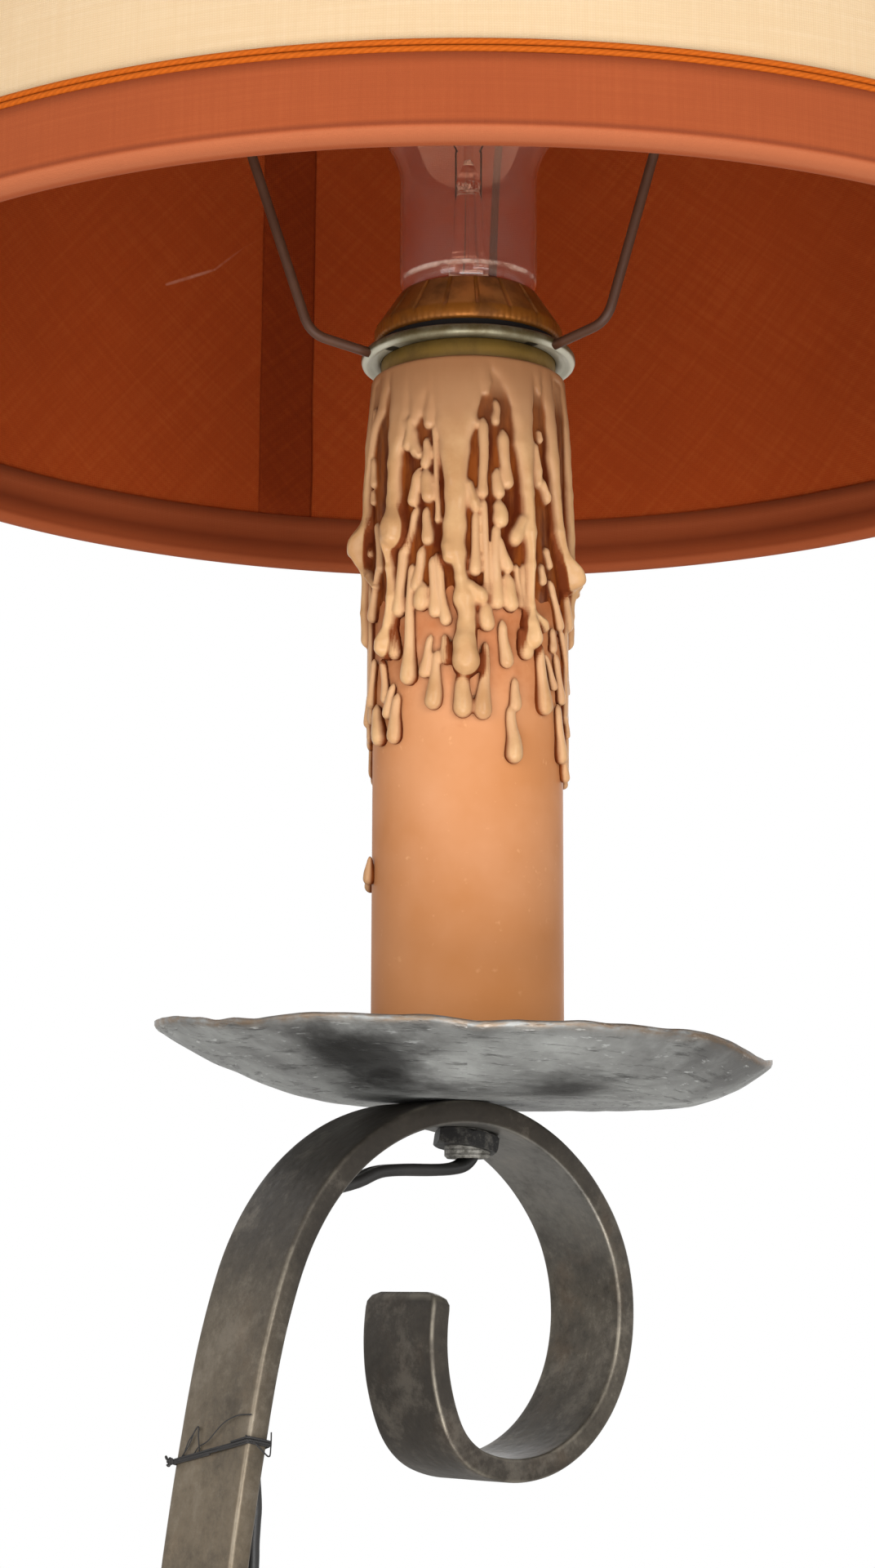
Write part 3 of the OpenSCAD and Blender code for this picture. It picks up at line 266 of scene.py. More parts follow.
class Shader:
    """A small builder for node materials. Colours are written as hex sRGB."""

    def __init__(self, name):
        self.material = bpy.data.materials.new(name)
        self.material.use_nodes = True
        self.tree = self.material.node_tree
        self.tree.nodes.clear()
        self.out = self.node("ShaderNodeOutputMaterial")
        self.surface = self.node("ShaderNodeBsdfPrincipled")
        self.link(self.surface.outputs[0], self.out.inputs["Surface"])
        self.coords = self.node("ShaderNodeTexCoord").outputs["Object"]

    def node(self, kind, **settings):
        made = self.tree.nodes.new(kind)
        for key, value in settings.items():
            setattr(made, key, value)
        return made

    def link(self, a, b):
        self.tree.links.new(a, b)

    def put(self, socket, value):
        if hasattr(value, "links"):
            self.link(value, socket)
        else:
            socket.default_value = value

    def uv(self):
        return self.node("ShaderNodeUVMap", uv_map="surface").outputs[0]

    def attribute(self, name):
        return self.node("ShaderNodeAttribute", attribute_name=name).outputs["Fac"]

    def stretch(self, vector, scale):
        mapping = self.node("ShaderNodeMapping")
        self.link(vector, mapping.inputs["Vector"])
        mapping.inputs["Scale"].default_value = scale
        return mapping.outputs[0]

    def turned(self, vector, angle):
        mapping = self.node("ShaderNodeMapping")
        self.link(vector, mapping.inputs["Vector"])
        mapping.inputs["Rotation"].default_value = (0, 0, angle)
        return mapping.outputs[0]

    def noise(self, scale, detail=4.0, rough=0.6, vector=None):
        made = self.node("ShaderNodeTexNoise")
        self.link(self.coords if vector is None else vector, made.inputs["Vector"])
        made.inputs["Scale"].default_value = scale
        made.inputs["Detail"].default_value = detail
        made.inputs["Roughness"].default_value = rough
        return made.outputs["Fac"]

    def cells(self, scale, vector=None, feature="F1"):
        made = self.node("ShaderNodeTexVoronoi", feature=feature)
        self.link(self.coords if vector is None else vector, made.inputs["Vector"])
        made.inputs["Scale"].default_value = scale
        return made.outputs["Distance"]

    def wave(self, scale, vector, direction="X", distortion=0.0, detail_scale=1.0):
        made = self.node("ShaderNodeTexWave", bands_direction=direction)
        self.link(vector, made.inputs["Vector"])
        made.inputs["Scale"].default_value = scale
        made.inputs["Distortion"].default_value = distortion
        made.inputs["Detail"].default_value = 1.0
        made.inputs["Detail Scale"].default_value = detail_scale
        return made.outputs["Fac"]

    def span(self, value, low, high, to_low=0.0, to_high=1.0):
        made = self.node("ShaderNodeMapRange")
        made.clamp = True
        self.put(made.inputs["Value"], value)
        made.inputs["From Min"].default_value = low
        made.inputs["From Max"].default_value = high
        made.inputs["To Min"].default_value = to_low
        made.inputs["To Max"].default_value = to_high
        return made.outputs[0]

    def math(self, operation, a, b):
        made = self.node("ShaderNodeMath", operation=operation)
        self.put(made.inputs[0], a)
        self.put(made.inputs[1], b)
        return made.outputs[0]

    def mix(self, share, a, b, blend="MIX"):
        made = self.node("ShaderNodeMix", data_type="RGBA", blend_type=blend)
        self.put(made.inputs[0], share)
        self.put(made.inputs[6], hexed(a) if isinstance(a, str) else a)
        self.put(made.inputs[7], hexed(b) if isinstance(b, str) else b)
        return made.outputs[2]

    def bump(self, height, strength, distance):
        made = self.node("ShaderNodeBump")
        self.link(height, made.inputs["Height"])
        made.inputs["Strength"].default_value = strength
        made.inputs["Distance"].default_value = distance
        return made.outputs[0]

    def from_line(self, start, end):
        """Distance of a point from a straight piece of line."""
        along = end - start
        step = self.node("ShaderNodeVectorMath", operation="SUBTRACT")
        self.link(self.coords, step.inputs[0])
        step.inputs[1].default_value = start
        dot = self.node("ShaderNodeVectorMath", operation="DOT_PRODUCT")
        self.link(step.outputs[0], dot.inputs[0])
        dot.inputs[1].default_value = along / along.length_squared
        nearest = self.node("ShaderNodeVectorMath", operation="SCALE")
        nearest.inputs[0].default_value = along
        self.link(self.span(dot.outputs["Value"], 0, 1), nearest.inputs["Scale"])
        away = self.node("ShaderNodeVectorMath", operation="DISTANCE")
        self.link(step.outputs[0], away.inputs[0])
        self.link(nearest.outputs[0], away.inputs[1])
        return away.outputs["Value"]

    def set(self, **values):
        names = {"color": "Base Color", "metal": "Metallic", "rough": "Roughness",
                 "normal": "Normal", "specular": "Specular IOR Level", "sheen": "Sheen Weight",
                 "coat": "Coat Weight", "coat_rough": "Coat Roughness", "ior": "IOR",
                 "through": "Transmission Weight", "alpha": "Alpha",
                 "under": "Subsurface Weight", "sheen_rough": "Sheen Roughness"}
        for key, value in values.items():
            socket = self.surface.inputs[names[key]]
            self.put(socket, hexed(value) if isinstance(value, str) else value)
        return self.material


def hexed(code):
    """Linear RGBA from a hex sRGB colour."""
    parts = [int(code[i:i + 2], 16) / 255 for i in (1, 3, 5)]
    linear = [c / 12.92 if c <= 0.04045 else ((c + 0.055) / 1.055) ** 2.4 for c in parts]
    return (*linear, 1.0)


def worn_steel(name, dark, middle, bright, patch_scale=40.0, gloss=0.42):
    """Forged flat steel, brushed and waxed: mottled, streaked, brighter along worn edges, with painted light on the
    upright stem and painted shade on the scroll and just under the pan.
    """
    s = Shader(name)
    uv = s.uv()
    streaks = s.noise(1.0, 5, 0.65, s.stretch(uv, (700, 60, 1)))
    mottle = s.noise(patch_scale, 6, 0.62)
    stains = s.noise(patch_scale * 0.35, 4, 0.55)
    pits = s.cells(420)
    tone = s.mix(s.span(mottle, 0.3, 0.62, 0.25, 1.0), dark, middle)
    tone = s.mix(s.span(streaks, 0.5, 0.85, 0, 0.2), tone, bright)
    tone = s.mix(s.span(stains, 0.45, 0.68, 0, 0.65), tone, dark)
    freckles = s.noise(330, 6, 0.8)
    tone = s.mix(s.span(freckles, 0.52, 0.68, 0, 0.55), tone, "#25211d")
    tone = s.mix(s.span(freckles, 0.46, 0.34, 0, 0.3), tone, "#948b7c")
    tone = s.mix(s.span(s.noise(75, 3), 0.55, 0.75, 0, 0.4), tone, "#6d5640")
    split = s.node("ShaderNodeSeparateXYZ")
    s.link(s.coords, split.inputs[0])
    x = split.outputs[0]
    # Painted light: the upright stem is painted lighter and warmer where light falls on it.
    tone = s.mix(s.span(x, -0.056, -0.04, 0.5, 0.0), tone, "#85755f")
    # Painted shade: the scroll is painted darker than the stem.
    scroll_shade = s.math("MULTIPLY", s.span(x, -0.052, -0.034, 0.0, 0.75), s.span(x, 0.02, 0.05, 1.0, 0.3))
    tone = s.mix(scroll_shade, tone, "#38332e")
    # Painted shade: the bar is painted darker just under the pan.
    tone = s.mix(s.span(split.outputs[2], 1.004, 1.016, 0, 0.6), tone, "#39332c")
    dusty = s.math("MULTIPLY", s.attribute("under"), s.span(split.outputs[2], 0.985, 1.008, 0, 0.5))
    tone = s.mix(dusty, tone, "#8b8984")
    patina = s.noise(70, 8, 0.75)
    tone = s.mix(s.span(patina, 0.5, 0.66, 0, 0.5), tone, "#2e2a26")
    tone = s.mix(s.span(patina, 0.48, 0.36, 0, 0.22), tone, "#9a9082")
    edge = s.math("MULTIPLY", s.attribute("edge"), s.span(s.noise(90, 4, 0.7), 0.42, 0.62, 0.1, 1.0))
    edge = s.math("MULTIPLY", edge, s.span(split.outputs[2], 0.985, 1.01, 0.6, 0.25))
    tone = s.mix(edge, tone, bright)
    rough = s.span(s.math("ADD", mottle, s.math("MULTIPLY", streaks, 0.5)), 0.45, 1.1,
                   gloss - 0.08, gloss + 0.2)
    height = s.math("ADD", s.math("MULTIPLY", mottle, 1.0), s.math("MULTIPLY", s.span(pits, 0, 0.5), 0.25))
    height = s.math("ADD", height, s.math("MULTIPLY", streaks, 0.12))
    height = s.math("ADD", height, s.math("MULTIPLY", stains, 2.0))
    return s.set(color=tone, metal=0.72, rough=rough, normal=s.bump(height, 0.35, 0.0006))


def dull_forged(name, dark, middle):
    """Blackened forged steel of the base."""
    s = Shader(name)
    mottle = s.noise(60, 6, 0.6)
    fine = s.noise(600, 3, 0.5)
    tone = s.mix(s.span(mottle, 0.35, 0.7), dark, middle)
    height = s.math("ADD", mottle, s.math("MULTIPLY", fine, 0.25))
    return s.set(color=tone, metal=0.7, rough=s.span(fine, 0.3, 0.8, 0.42, 0.6),
                 normal=s.bump(height, 0.4, 0.0008))


def plain_metal(name, base, stain, rough=0.35, metal=1.0, scale=90.0, stain_share=0.6):
    """Plated or rolled metal with stains and fine scratches."""
    s = Shader(name)
    clouds = s.noise(scale, 5, 0.6)
    scratches = s.noise(1.0, 2, 0.5, s.stretch(s.coords, (2600, 260, 900)))
    tone = s.mix(s.span(clouds, 0.42, 0.68, 0, stain_share), base, stain)
    return s.set(color=tone, metal=metal, rough=s.span(clouds, 0.35, 0.7, rough - 0.06, rough + 0.18),
                 normal=s.bump(scratches, 0.12, 0.0002))


def threaded_zinc(name):
    """Dull zinc, mottled with dirt, with the turns of a fine thread darker down in their grooves."""
    s = Shader(name)
    turns = s.wave(THREAD_WAVE, s.coords, "Z", 1.5, 400)
    dirt = s.noise(700, 4, 0.7)
    tone = s.mix(s.span(dirt, 0.35, 0.65), "#a9a69e", "#57544d")
    tone = s.mix(s.span(turns, 0.1, 0.5, 0.6, 0), tone, "#3d3a35")
    return s.set(color=tone, metal=0.7, rough=0.5, normal=s.bump(turns, 0.5, 0.0003))


def dusty_black(name):
    """Blackened nut with grey dust on it."""
    s = Shader(name)
    dust = s.noise(420, 6, 0.75)
    tone = s.mix(s.span(dust, 0.48, 0.74), "#131110", "#57544e")
    return s.set(color=tone, metal=0.3, rough=0.6, normal=s.bump(dust, 0.4, 0.0004))


def pressed_glass(name):
    """The bulb's glass mount, clear but for two whitish painted highlights on its pressed places."""
    s = Shader(name)
    split = s.node("ShaderNodeSeparateXYZ")
    s.link(s.coords, split.inputs[0])
    z = split.outputs[2]
    low = s.math("MULTIPLY", s.span(z, 1.2312, 1.2317), s.span(z, 1.2336, 1.2331))
    high = s.math("MULTIPLY", s.span(z, 1.2380, 1.2384), s.span(z, 1.2398, 1.2394))
    # Painted highlights: whitish bands for the light caught on the pressed places.
    glint = s.math("MULTIPLY", s.math("MAXIMUM", low, high), s.span(s.noise(900, 3, 0.7), 0.45, 0.6))
    return s.set(color="#ffffff", through=s.math("SUBTRACT", 1.0, glint), rough=0.05, ior=1.45)


def carrier_zinc(name):
    """Greenish zinc with greasy stains, slots painted near-black for the shade inside them, and painted light on its
    underside and rolled rim, held back on the side that faces the camera.
    """
    s = Shader(name)
    clouds = s.noise(170, 5, 0.65)
    tone = s.mix(s.span(clouds, 0.36, 0.64), "#857f66", "#5c5030")
    split = s.node("ShaderNodeSeparateXYZ")
    s.link(s.coords, split.inputs[0])
    front = s.node("ShaderNodeVectorMath", operation="DISTANCE")
    s.link(s.coords, front.inputs[0])
    front.inputs[1].default_value = around(24, 0, 1190.5)
    # Painted light on the underside, held back near the side that faces the camera.
    lit_away_from_front = s.span(front.outputs["Value"], 0.015, 0.02, 0.1, 0.95)
    low = s.span(split.outputs[2], 1.1909, 1.1905)
    tone = s.mix(s.math("MULTIPLY", low, lit_away_from_front), tone, "#cbc6b2")
    # Painted shade: near-black spots where the slots are.
    for turn in CARRIER_SLOTS:
        away = s.node("ShaderNodeVectorMath", operation="DISTANCE")
        s.link(s.coords, away.inputs[0])
        away.inputs[1].default_value = around(20.9, turn, 1190.5)
        tone = s.mix(s.span(away.outputs["Value"], 0.0014, 0.0018, 0.95, 0), tone, "#0d0c0a")
    return s.set(color=tone, metal=0.5, rough=s.span(clouds, 0.35, 0.7, 0.36, 0.54),
                 normal=s.bump(clouds, 0.15, 0.0003))


def moulded(name, base, light, rough=0.4, grain=900.0, specular=0.5):
    """Moulded plastic with a faint grain and handling marks."""
    s = Shader(name)
    marks = s.noise(70, 5, 0.6)
    fine = s.noise(grain, 2, 0.5)
    tone = s.mix(s.span(marks, 0.45, 0.75, 0, 0.5), base, light)
    return s.set(color=tone, rough=s.span(marks, 0.3, 0.75, rough - 0.05, rough + 0.12),
                 specular=specular, normal=s.bump(fine, 0.1, 0.0002))


def woven(name, base, dark, light, thread_mm, slub=0.5, sheen=0.25, blotch=0.35, relief=0.35,
          slant=0.0, tape=False, grid=0.4, specular=0.25,
          scratched=False):
    """Plain woven cloth from two crossed sets of threads with uneven slubs that may slant."""
    s = Shader(name)
    uv = s.uv()
    pitch = thread_mm * MM
    wobbly = s.node("ShaderNodeVectorMath", operation="ADD")
    drift = s.node("ShaderNodeTexNoise")
    s.link(s.stretch(uv, (60, 60, 1)), drift.inputs["Vector"])
    drift.inputs["Scale"].default_value = 1.0
    shift = s.node("ShaderNodeVectorMath", operation="SCALE")
    s.link(drift.outputs["Color"], shift.inputs[0])
    shift.inputs["Scale"].default_value = pitch * 1.4
    s.link(uv, wobbly.inputs[0])
    s.link(shift.outputs[0], wobbly.inputs[1])
    line = wobbly.outputs[0]
    wave_scale = 1 / pitch / 3.2
    warp = s.wave(wave_scale, line, "X")
    weft = s.wave(wave_scale, line, "Y")
    slanted = s.turned(uv, slant) if slant else uv
    slubs_a = s.noise(1.0, 3, 0.6, s.stretch(slanted, (1 / pitch * 0.45, 30, 1)))
    slubs_b = s.noise(1.0, 3, 0.6, s.stretch(slanted, (30, 1 / pitch * 0.45, 1)))
    clouds = s.noise(22, 4, 0.55)
    threads = s.math("MULTIPLY", warp, weft)
    tone = s.mix(s.span(threads, 0.0, 0.6, 0.6 - grid / 2, 0.6 + grid / 2), dark, base)
    slubs = s.math("ADD", slubs_a, slubs_b)
    tone = s.mix(s.span(slubs, 0.95, 1.35, 0, slub), tone, light)
    tone = s.mix(s.span(slubs, 0.9, 0.6, 0, slub), tone, dark)
    tone = s.mix(s.span(clouds, 0.4, 0.7, 0, blotch), tone, dark)
    if tape:
        tone = tape_shade_and_highlight(s, tone)
    if scratched:
        tone = scratch_tones(s, tone)
    height = s.math("ADD", threads, s.math("MULTIPLY", slubs, 0.8))
    return s.set(color=tone, rough=0.85, sheen=sheen, sheen_rough=0.5, specular=specular,
                 normal=s.bump(height, relief, pitch * 0.5))


def scratch_tones(s, tone):
    """A thin broken pale scratch across the threads."""
    places = [around(LINING_FACE_R, *seen_at(x, y, LINING_FACE_R, True)) for x, y in SCRATCHES_SEEN]
    broken = s.span(s.noise(160, 3, 0.7), 0.3, 0.55, 0.2, 0.8)
    for start, end in zip(places, places[1:]):
        line = s.span(s.from_line(start, end), 0.0001, 0.0007, 1, 0)
        tone = s.mix(s.math("MULTIPLY", line, broken), tone, "#d8a58a")
    return tone


def tape_shade_and_highlight(s, tone):
    """Painted light on the tape: painted shade inside the lampshade, and a painted highlight on its rolled lip under a
    thin painted fold shadow.
    """
    split = s.node("ShaderNodeSeparateXYZ")
    s.link(s.coords, split.inputs[0])
    z = split.outputs[2]
    # Painted highlight on the rolled lip.
    lip = s.span(z, 1.1822, 1.1816)
    # Painted fold shadow: a thin dark line above the lip.
    line = s.math("MULTIPLY", s.span(z, 1.1819, 1.1824), s.span(z, 1.1833, 1.1826))
    tone = s.mix(s.math("MULTIPLY", lip, 0.6), tone, "#aa6341")
    tone = s.mix(s.math("MULTIPLY", line, 0.55), tone, "#5f2612")
    # Painted shade on the tape inside the lampshade.
    return s.mix(s.math("MULTIPLY", s.attribute("inside"), 0.75), tone, "#93431e")


def hammered_steel(name):
    """The drip pan: grey beaten sheet, short dark dashes, smoke stains and a brown worn rim."""
    s = Shader(name)
    uv = s.uv()
    dashes = s.noise(1.0, 5, 0.7, s.stretch(uv, (90, 420, 1)))
    chips = s.noise(1.0, 3, 0.6, s.stretch(uv, (260, 700, 1)))
    clouds = s.noise(38, 6, 0.65)
    tone = s.mix(s.span(clouds, 0.34, 0.68), "#696866", "#aeafac")
    tone = s.mix(s.span(dashes, 0.54, 0.66, 0, 0.75), tone, "#4a4947")
    tone = s.mix(s.span(chips, 0.62, 0.7, 0, 0.7), tone, "#c9cac8")
    for x, y in PAN_STAINS:
        away = s.node("ShaderNodeVectorMath", operation="DISTANCE")
        s.link(s.coords, away.inputs[0])
        away.inputs[1].default_value = place(x, y, 1031)
        rough_edge = s.math("ADD", away.outputs["Value"], s.span(clouds, 0.3, 0.7, -0.006, 0.006))
        tone = s.mix(s.span(rough_edge, 0.006, 0.017, 0.8, 0), tone, "#2d2c2b")
    rim = s.attribute("rim")
    tone = s.mix(s.math("MULTIPLY", s.span(rim, 0.9, 0.99), s.span(chips, 0.35, 0.6, 0, 0.7)), tone, "#7b6247")
    height = s.math("SUBTRACT", s.math("MULTIPLY", clouds, 0.9), s.span(dashes, 0.55, 0.7, 0, 0.5))
    return s.set(color=tone, metal=0.75, rough=s.span(clouds, 0.3, 0.7, 0.38, 0.6),
                 normal=s.bump(height, 0.5, 0.0009))


def candle_plastic(name):
    """Satin tan sleeve with faint mottling and specks."""
    s = Shader(name)
    clouds = s.noise(35, 4, 0.55)
    specks = s.noise(500, 2, 0.5)
    tone = s.mix(s.span(clouds, 0.35, 0.7), "#bb7d4f", "#ca9067")
    tone = s.mix(s.span(specks, 0.68, 0.8, 0, 0.4), tone, "#e3b080")
    height = s.node("ShaderNodeSeparateXYZ")
    s.link(s.coords, height.inputs[0])
    stained = s.math("ADD", height.outputs[2], s.span(s.noise(90, 4, 0.6), 0.3, 0.7, -0.012, 0.012))
    tone = s.mix(s.span(stained, 1.108, 1.135, 0, 0.75), tone, "#9a5226")
    tone = s.mix(s.span(height.outputs[2], 1.03, 1.075, 0.6, 0), tone, "#cb8345")
    return s.set(color=tone, rough=0.44, specular=0.05, normal=s.bump(s.noise(300, 3), 0.12, 0.0003))


def dripped_wax(name):
    """Cream drips with pinkish inner runs, rust-brown glaze and painted shade down in the hollows, darkest in the
    deepest, and painted shade over the top under the carrier.
    """
    s = Shader(name)
    clouds = s.noise(150, 4, 0.6)
    broad = s.noise(28, 3, 0.5)
    tone = s.mix(s.span(broad, 0.38, 0.66), "#b28458", "#c4996b")
    tone = s.mix(s.span(clouds, 0.4, 0.75, 0, 0.4), tone, "#dfbb8c")
    tone = s.mix(s.attribute("inner"), tone, "#c4976f")
    # Rust-brown glaze and painted shade together, by how deep a point lies.
    glaze = s.span(s.math("ADD", s.attribute("crevice"), s.span(clouds, 0, 1, -0.12, 0.12)), 0.22, 0.55)
    tone = s.mix(s.math("MULTIPLY", glaze, 0.93), tone, "#6f2c05")
    streaks = s.noise(1.0, 4, 0.6, s.stretch(s.coords, (330, 330, 60)))
    film = s.mix(s.span(streaks, 0.42, 0.62), "#4d1a03", "#7b3d12")
    tone = s.mix(s.math("MULTIPLY", s.attribute("foot"), 0.95), tone, film)
    # Painted shade: near-black in the deepest hollows.
    deep = s.span(s.math("ADD", s.attribute("crevice"), s.span(clouds, 0, 1, -0.15, 0.15)), 0.62, 0.9)
    tone = s.mix(s.math("MULTIPLY", deep, 0.6), tone, "#541b03")
    split = s.node("ShaderNodeSeparateXYZ")
    s.link(s.coords, split.inputs[0])
    # Painted shade over the top of the wax, under the carrier and the lampshade.
    tone = s.mix(s.span(split.outputs[2], 1.166, 1.186, 0, 0.75), tone, "#8a5733")
    gloss = s.span(s.attribute("crevice"), 0.1, 0.3, 0.25, 0.0)
    rough = s.span(s.attribute("crevice"), 0.1, 0.4, 0.42, 0.85)
    return s.set(color=tone, rough=rough, specular=0.08, coat=gloss, coat_rough=0.12,
                 normal=s.bump(clouds, 0.1, 0.0004))


def bulb_glass(name):
    """Clear glass with a faint haze of dust, and a whitish band painted on as a highlight where the neck turns in to
    the cap.
    """
    s = Shader(name)
    marks = s.noise(60, 4, 0.6)
    split = s.node("ShaderNodeSeparateXYZ")
    s.link(s.coords, split.inputs[0])
    z = split.outputs[2]
    neck_glint = s.math("MULTIPLY", s.span(z, 1.2090, 1.2095), s.span(z, 1.2104, 1.2100))
    neck_glint = s.math("MULTIPLY", neck_glint, s.span(s.noise(150, 3, 0.6), 0.42, 0.6, 0.05, 0.5))
    # The through-share carries both the dust haze and the painted highlight band.
    dusty = s.math("MULTIPLY", s.span(marks, 0.35, 0.7, 0.96, 0.93), s.math("SUBTRACT", 1.0, neck_glint))
    return s.set(color=s.mix(s.span(marks, 0.4, 0.7), "#ffdcc6", "#fbdfd0"), through=dusty, rough=0.02, ior=1.45)


def twisted_cord(name, base, dark):
    """Two-ply cord: dark lines slant round it."""
    s = Shader(name)
    uv = s.uv()
    ply = s.wave(300, s.turned(uv, 0.9), "X")
    tone = s.mix(s.span(ply, 0.2, 0.8, 0.0, 0.9), dark, base)
    return s.set(color=tone, rough=0.8, specular=0.12, normal=s.bump(ply, 0.22, 0.0003))


def thread_black(name):
    s = Shader(name)
    ply = s.wave(900, s.turned(s.uv(), 0.8), "X")
    return s.set(color=s.mix(ply, "#0e0d0d", "#2b2827"), rough=0.7, normal=s.bump(ply, 0.4, 0.0002))


STEEL = worn_steel("bar_steel", "#3f3a34", "#5e574c", "#938b7c")
BASE_STEEL = dull_forged("base_steel", "#2c2824", "#575049")
RIVET_STEEL = dull_forged("rivet_steel", "#1f1c19", "#45403a")
PAN_STEEL = hammered_steel("pan_steel")
ZINC = plain_metal("zinc", "#b3afa6", "#7b7467", 0.38)
PIPE_ZINC = threaded_zinc("pipe_zinc")
NUT_BLACK = dusty_black("nut_black")
CARRIER = carrier_zinc("carrier_zinc")
COLLAR = plain_metal("collar_brass", "#8e6f33", "#5c4520", 0.5, 0.2, 200, 0.5)
RING_BRASS = plain_metal("ring_brass", "#a0611f", "#633911", 0.45, 0.55, 160, 0.7)
BRASS = plain_metal("brass", "#b8934f", "#7a5c2a", 0.32)
CAP_METAL = plain_metal("cap_metal", "#b9b4a8", "#8e887a", 0.35)
PIN_METAL = plain_metal("pin_metal", "#d2cec4", "#9e988a", 0.22)
WIRE_DARK = plain_metal("wire_dark", "#3b3532", "#2a2422", 0.4)
ARM_PAINT = moulded("arm_paint", "#4c2f20", "#64422e", 0.5, 900.0, 0.3)
BAKELITE = moulded("bakelite", "#191614", "#2c2724", 0.3)
SWITCH_BROWN = moulded("switch_brown", "#2b2320", "#40352f", 0.32)
BUTTON_GREY = moulded("button_grey", "#8b8276", "#a1998c", 0.38)
PLUG_BLACK = moulded("plug_black", "#1d1c1b", "#302e2c", 0.5)
FLEX_BLACK = moulded("flex_black", "#1a1918", "#35322f", 0.45)
RUBBER = moulded("rubber", "#1f1d1b", "#33302d", 0.75)
GASKET = moulded("gasket", "#0d0c0b", "#1b1917", 0.8)
CANDLE = candle_plastic("candle")
WAX = dripped_wax("wax")
GLASS = bulb_glass("glass")
MOUNT_GLASS = pressed_glass("mount_glass")
COVER = woven("cover_cloth", "#c9b08d", "#be9f79", "#d2bd9d", 0.45, 0.3, 0.05, 0.15, 0.25)
LINING = woven("lining_cloth", "#a44314", "#87320b", "#b05523", 0.6, 0.38, 0.0, 0.25, 0.35, 0.7, False, 0.12, 0.12, True)
SEAM = woven("seam_cloth", "#86310d", "#682307", "#964216", 0.6, 0.42, 0.0, 0.3, 0.35, 0.7, False, 0.12, 0.08)
TRIM = woven("trim_cloth", "#974823", "#873d1c", "#a4532b", 0.35, 0.3, 0.0, 0.3, 0.2, 0.0, True, 0.4, 0.2)
PIPING = twisted_cord("piping_cord", "#b05410", "#a14b0c")
THREAD = thread_black("thread")


# Lead

FLEX_W = 5.0
FLEX_T = 2.6
STEM_X = -75.5
BAR_T = 5.0
BAR_W = 22.0
FLEX_X = STEM_X + BAR_T / 2 + 0.1 + FLEX_T / 2
LEAD_START_Z = 270.0
DROP_ROUTE = [
    (0, 0, 0), (0, 0, -13), (0.1, 3, -26), (0.6, 9, -38), (1.6, 16.5, -49.5),
    (3.1, 24, -61), (4.6, 31, -73), (6.1, 36.5, -86), (7.6, 40.5, -100), (8.6, 43, -114),
    (9.1, 44.5, -128), (9.6, 45, -142), (9.6, 45, -156), (9.6, 45, -170), (9.6, 45, -184),
    (9.6, 45, -198), (9.6, 45, -211), (10.1, 45, -223), (11.6, 45, -235), (15.1, 45, -246),
    (21.1, 45, -255), (29.6, 45, -260.5), (38.6, 45, -263), (46.6, 45, -263)]
LINK_ROUTE = [(45, 45, 7), (51, 45, 7), (59, 45, 6.2), (68, 45, 4.4), (77, 45, 3), (85, 45, 2.8)]
TAIL_ROUTE = [(85, 119, 8.8), (79, 119, 8.8), (71, 119, 8.4), (63, 119, 7.6), (56, 119, 7),
              (50, 119, 7)]
COIL_AT = (85.0, 82.0)
COIL_R = 37.0
COIL_TURNS = 4
COIL_PITCH = FLEX_T + 1.2
COIL_LOW = 2.8
COIL_STEP = FLEX_W + 1.0
COIL_STEPS = 48


def eased(s):
    return s * s * (3 - 2 * s)


def coil_point(s):
    """The coil's middle line after s turns: in on the floor, up half a turn, out on top."""
    total = 2 * COIL_TURNS + 0.5
    r = COIL_R - COIL_PITCH * (total / 2 - abs(s - total / 2))
    share = min(1, max(0, 2 * (s - COIL_TURNS)))
    a = math.radians(-90 + 360 * s)
    return place(COIL_AT[0] + r * math.cos(a), COIL_AT[1] + r * math.sin(a),
                 COIL_LOW + COIL_STEP * eased(eased(share)))


def twin_outline():
    """Two round cores side by side with a waist between them."""
    core = FLEX_T / 2 * MM
    away = (FLEX_W - FLEX_T) / 2 * MM
    right = [(away + core * math.cos(a), core * math.sin(a))
             for a in (math.radians(x) for x in range(-120, 121, 24))]
    return right + [(-x, -y) for x, y in right]


def make_lead():
    start = Vector((FLEX_X, 0, LEAD_START_Z))
    drop = smooth_route([place(*(start + Vector(p))) for p in DROP_ROUTE], 3)
    piece = sweep("lead_drop", drop, (0, 1, 0), twin_outline())
    finish_piece(piece, FLEX_BLACK, "stand", "flex_pvc", "flex_drop")
    link = smooth_route([place(*p) for p in LINK_ROUTE], 4)
    total = int((2 * COIL_TURNS + 0.5) * COIL_STEPS)
    coil = [coil_point(i / COIL_STEPS) for i in range(total + 1)]
    tail = smooth_route([place(*p) for p in TAIL_ROUTE], 4)
    pieces = [
        sweep("lead_link", link, (0, 1, 0), twin_outline(), math.pi / 2),
        sweep("lead_coil", coil, (0, 0, 1), twin_outline()),
        sweep("lead_tail", tail, (0, 0, 1), twin_outline(), math.pi / 2)]
    whole = joined("lead_coiled", pieces)
    finish_piece(whole, FLEX_BLACK, "stand", "flex_pvc", "flex_link", "flex_coil", "flex_tail")


def joined(name, pieces):
    """One object from several mesh objects that share a uv layer's name."""
    for piece in bpy.context.selected_objects:
        piece.select_set(False)
    for piece in pieces:
        piece.select_set(True)
    bpy.context.view_layer.objects.active = pieces[0]
    bpy.ops.object.join()
    pieces[0].name = name
    pieces[0].data.name = name
    return pieces[0]


make_lead()


# Flat bar

CROWN_Z = 1024.4
CROWN_X = 8.5
BAR_MID_Z = CROWN_Z - BAR_T / 2
SCROLL_BENDS = [(48.5, 55), (36.4, 50), (31.7, 50), (32, 45), (15.5, 45), (40, 38)]
CROOK_BENDS = [(51, 45), (55, 25), (155, 8)]
CROOK_TURN = 78
HUB_TOP = 190.0
TANG_LEN = 52.0
BAR_EASE = 0.9
TIP_ROUND = 3.0


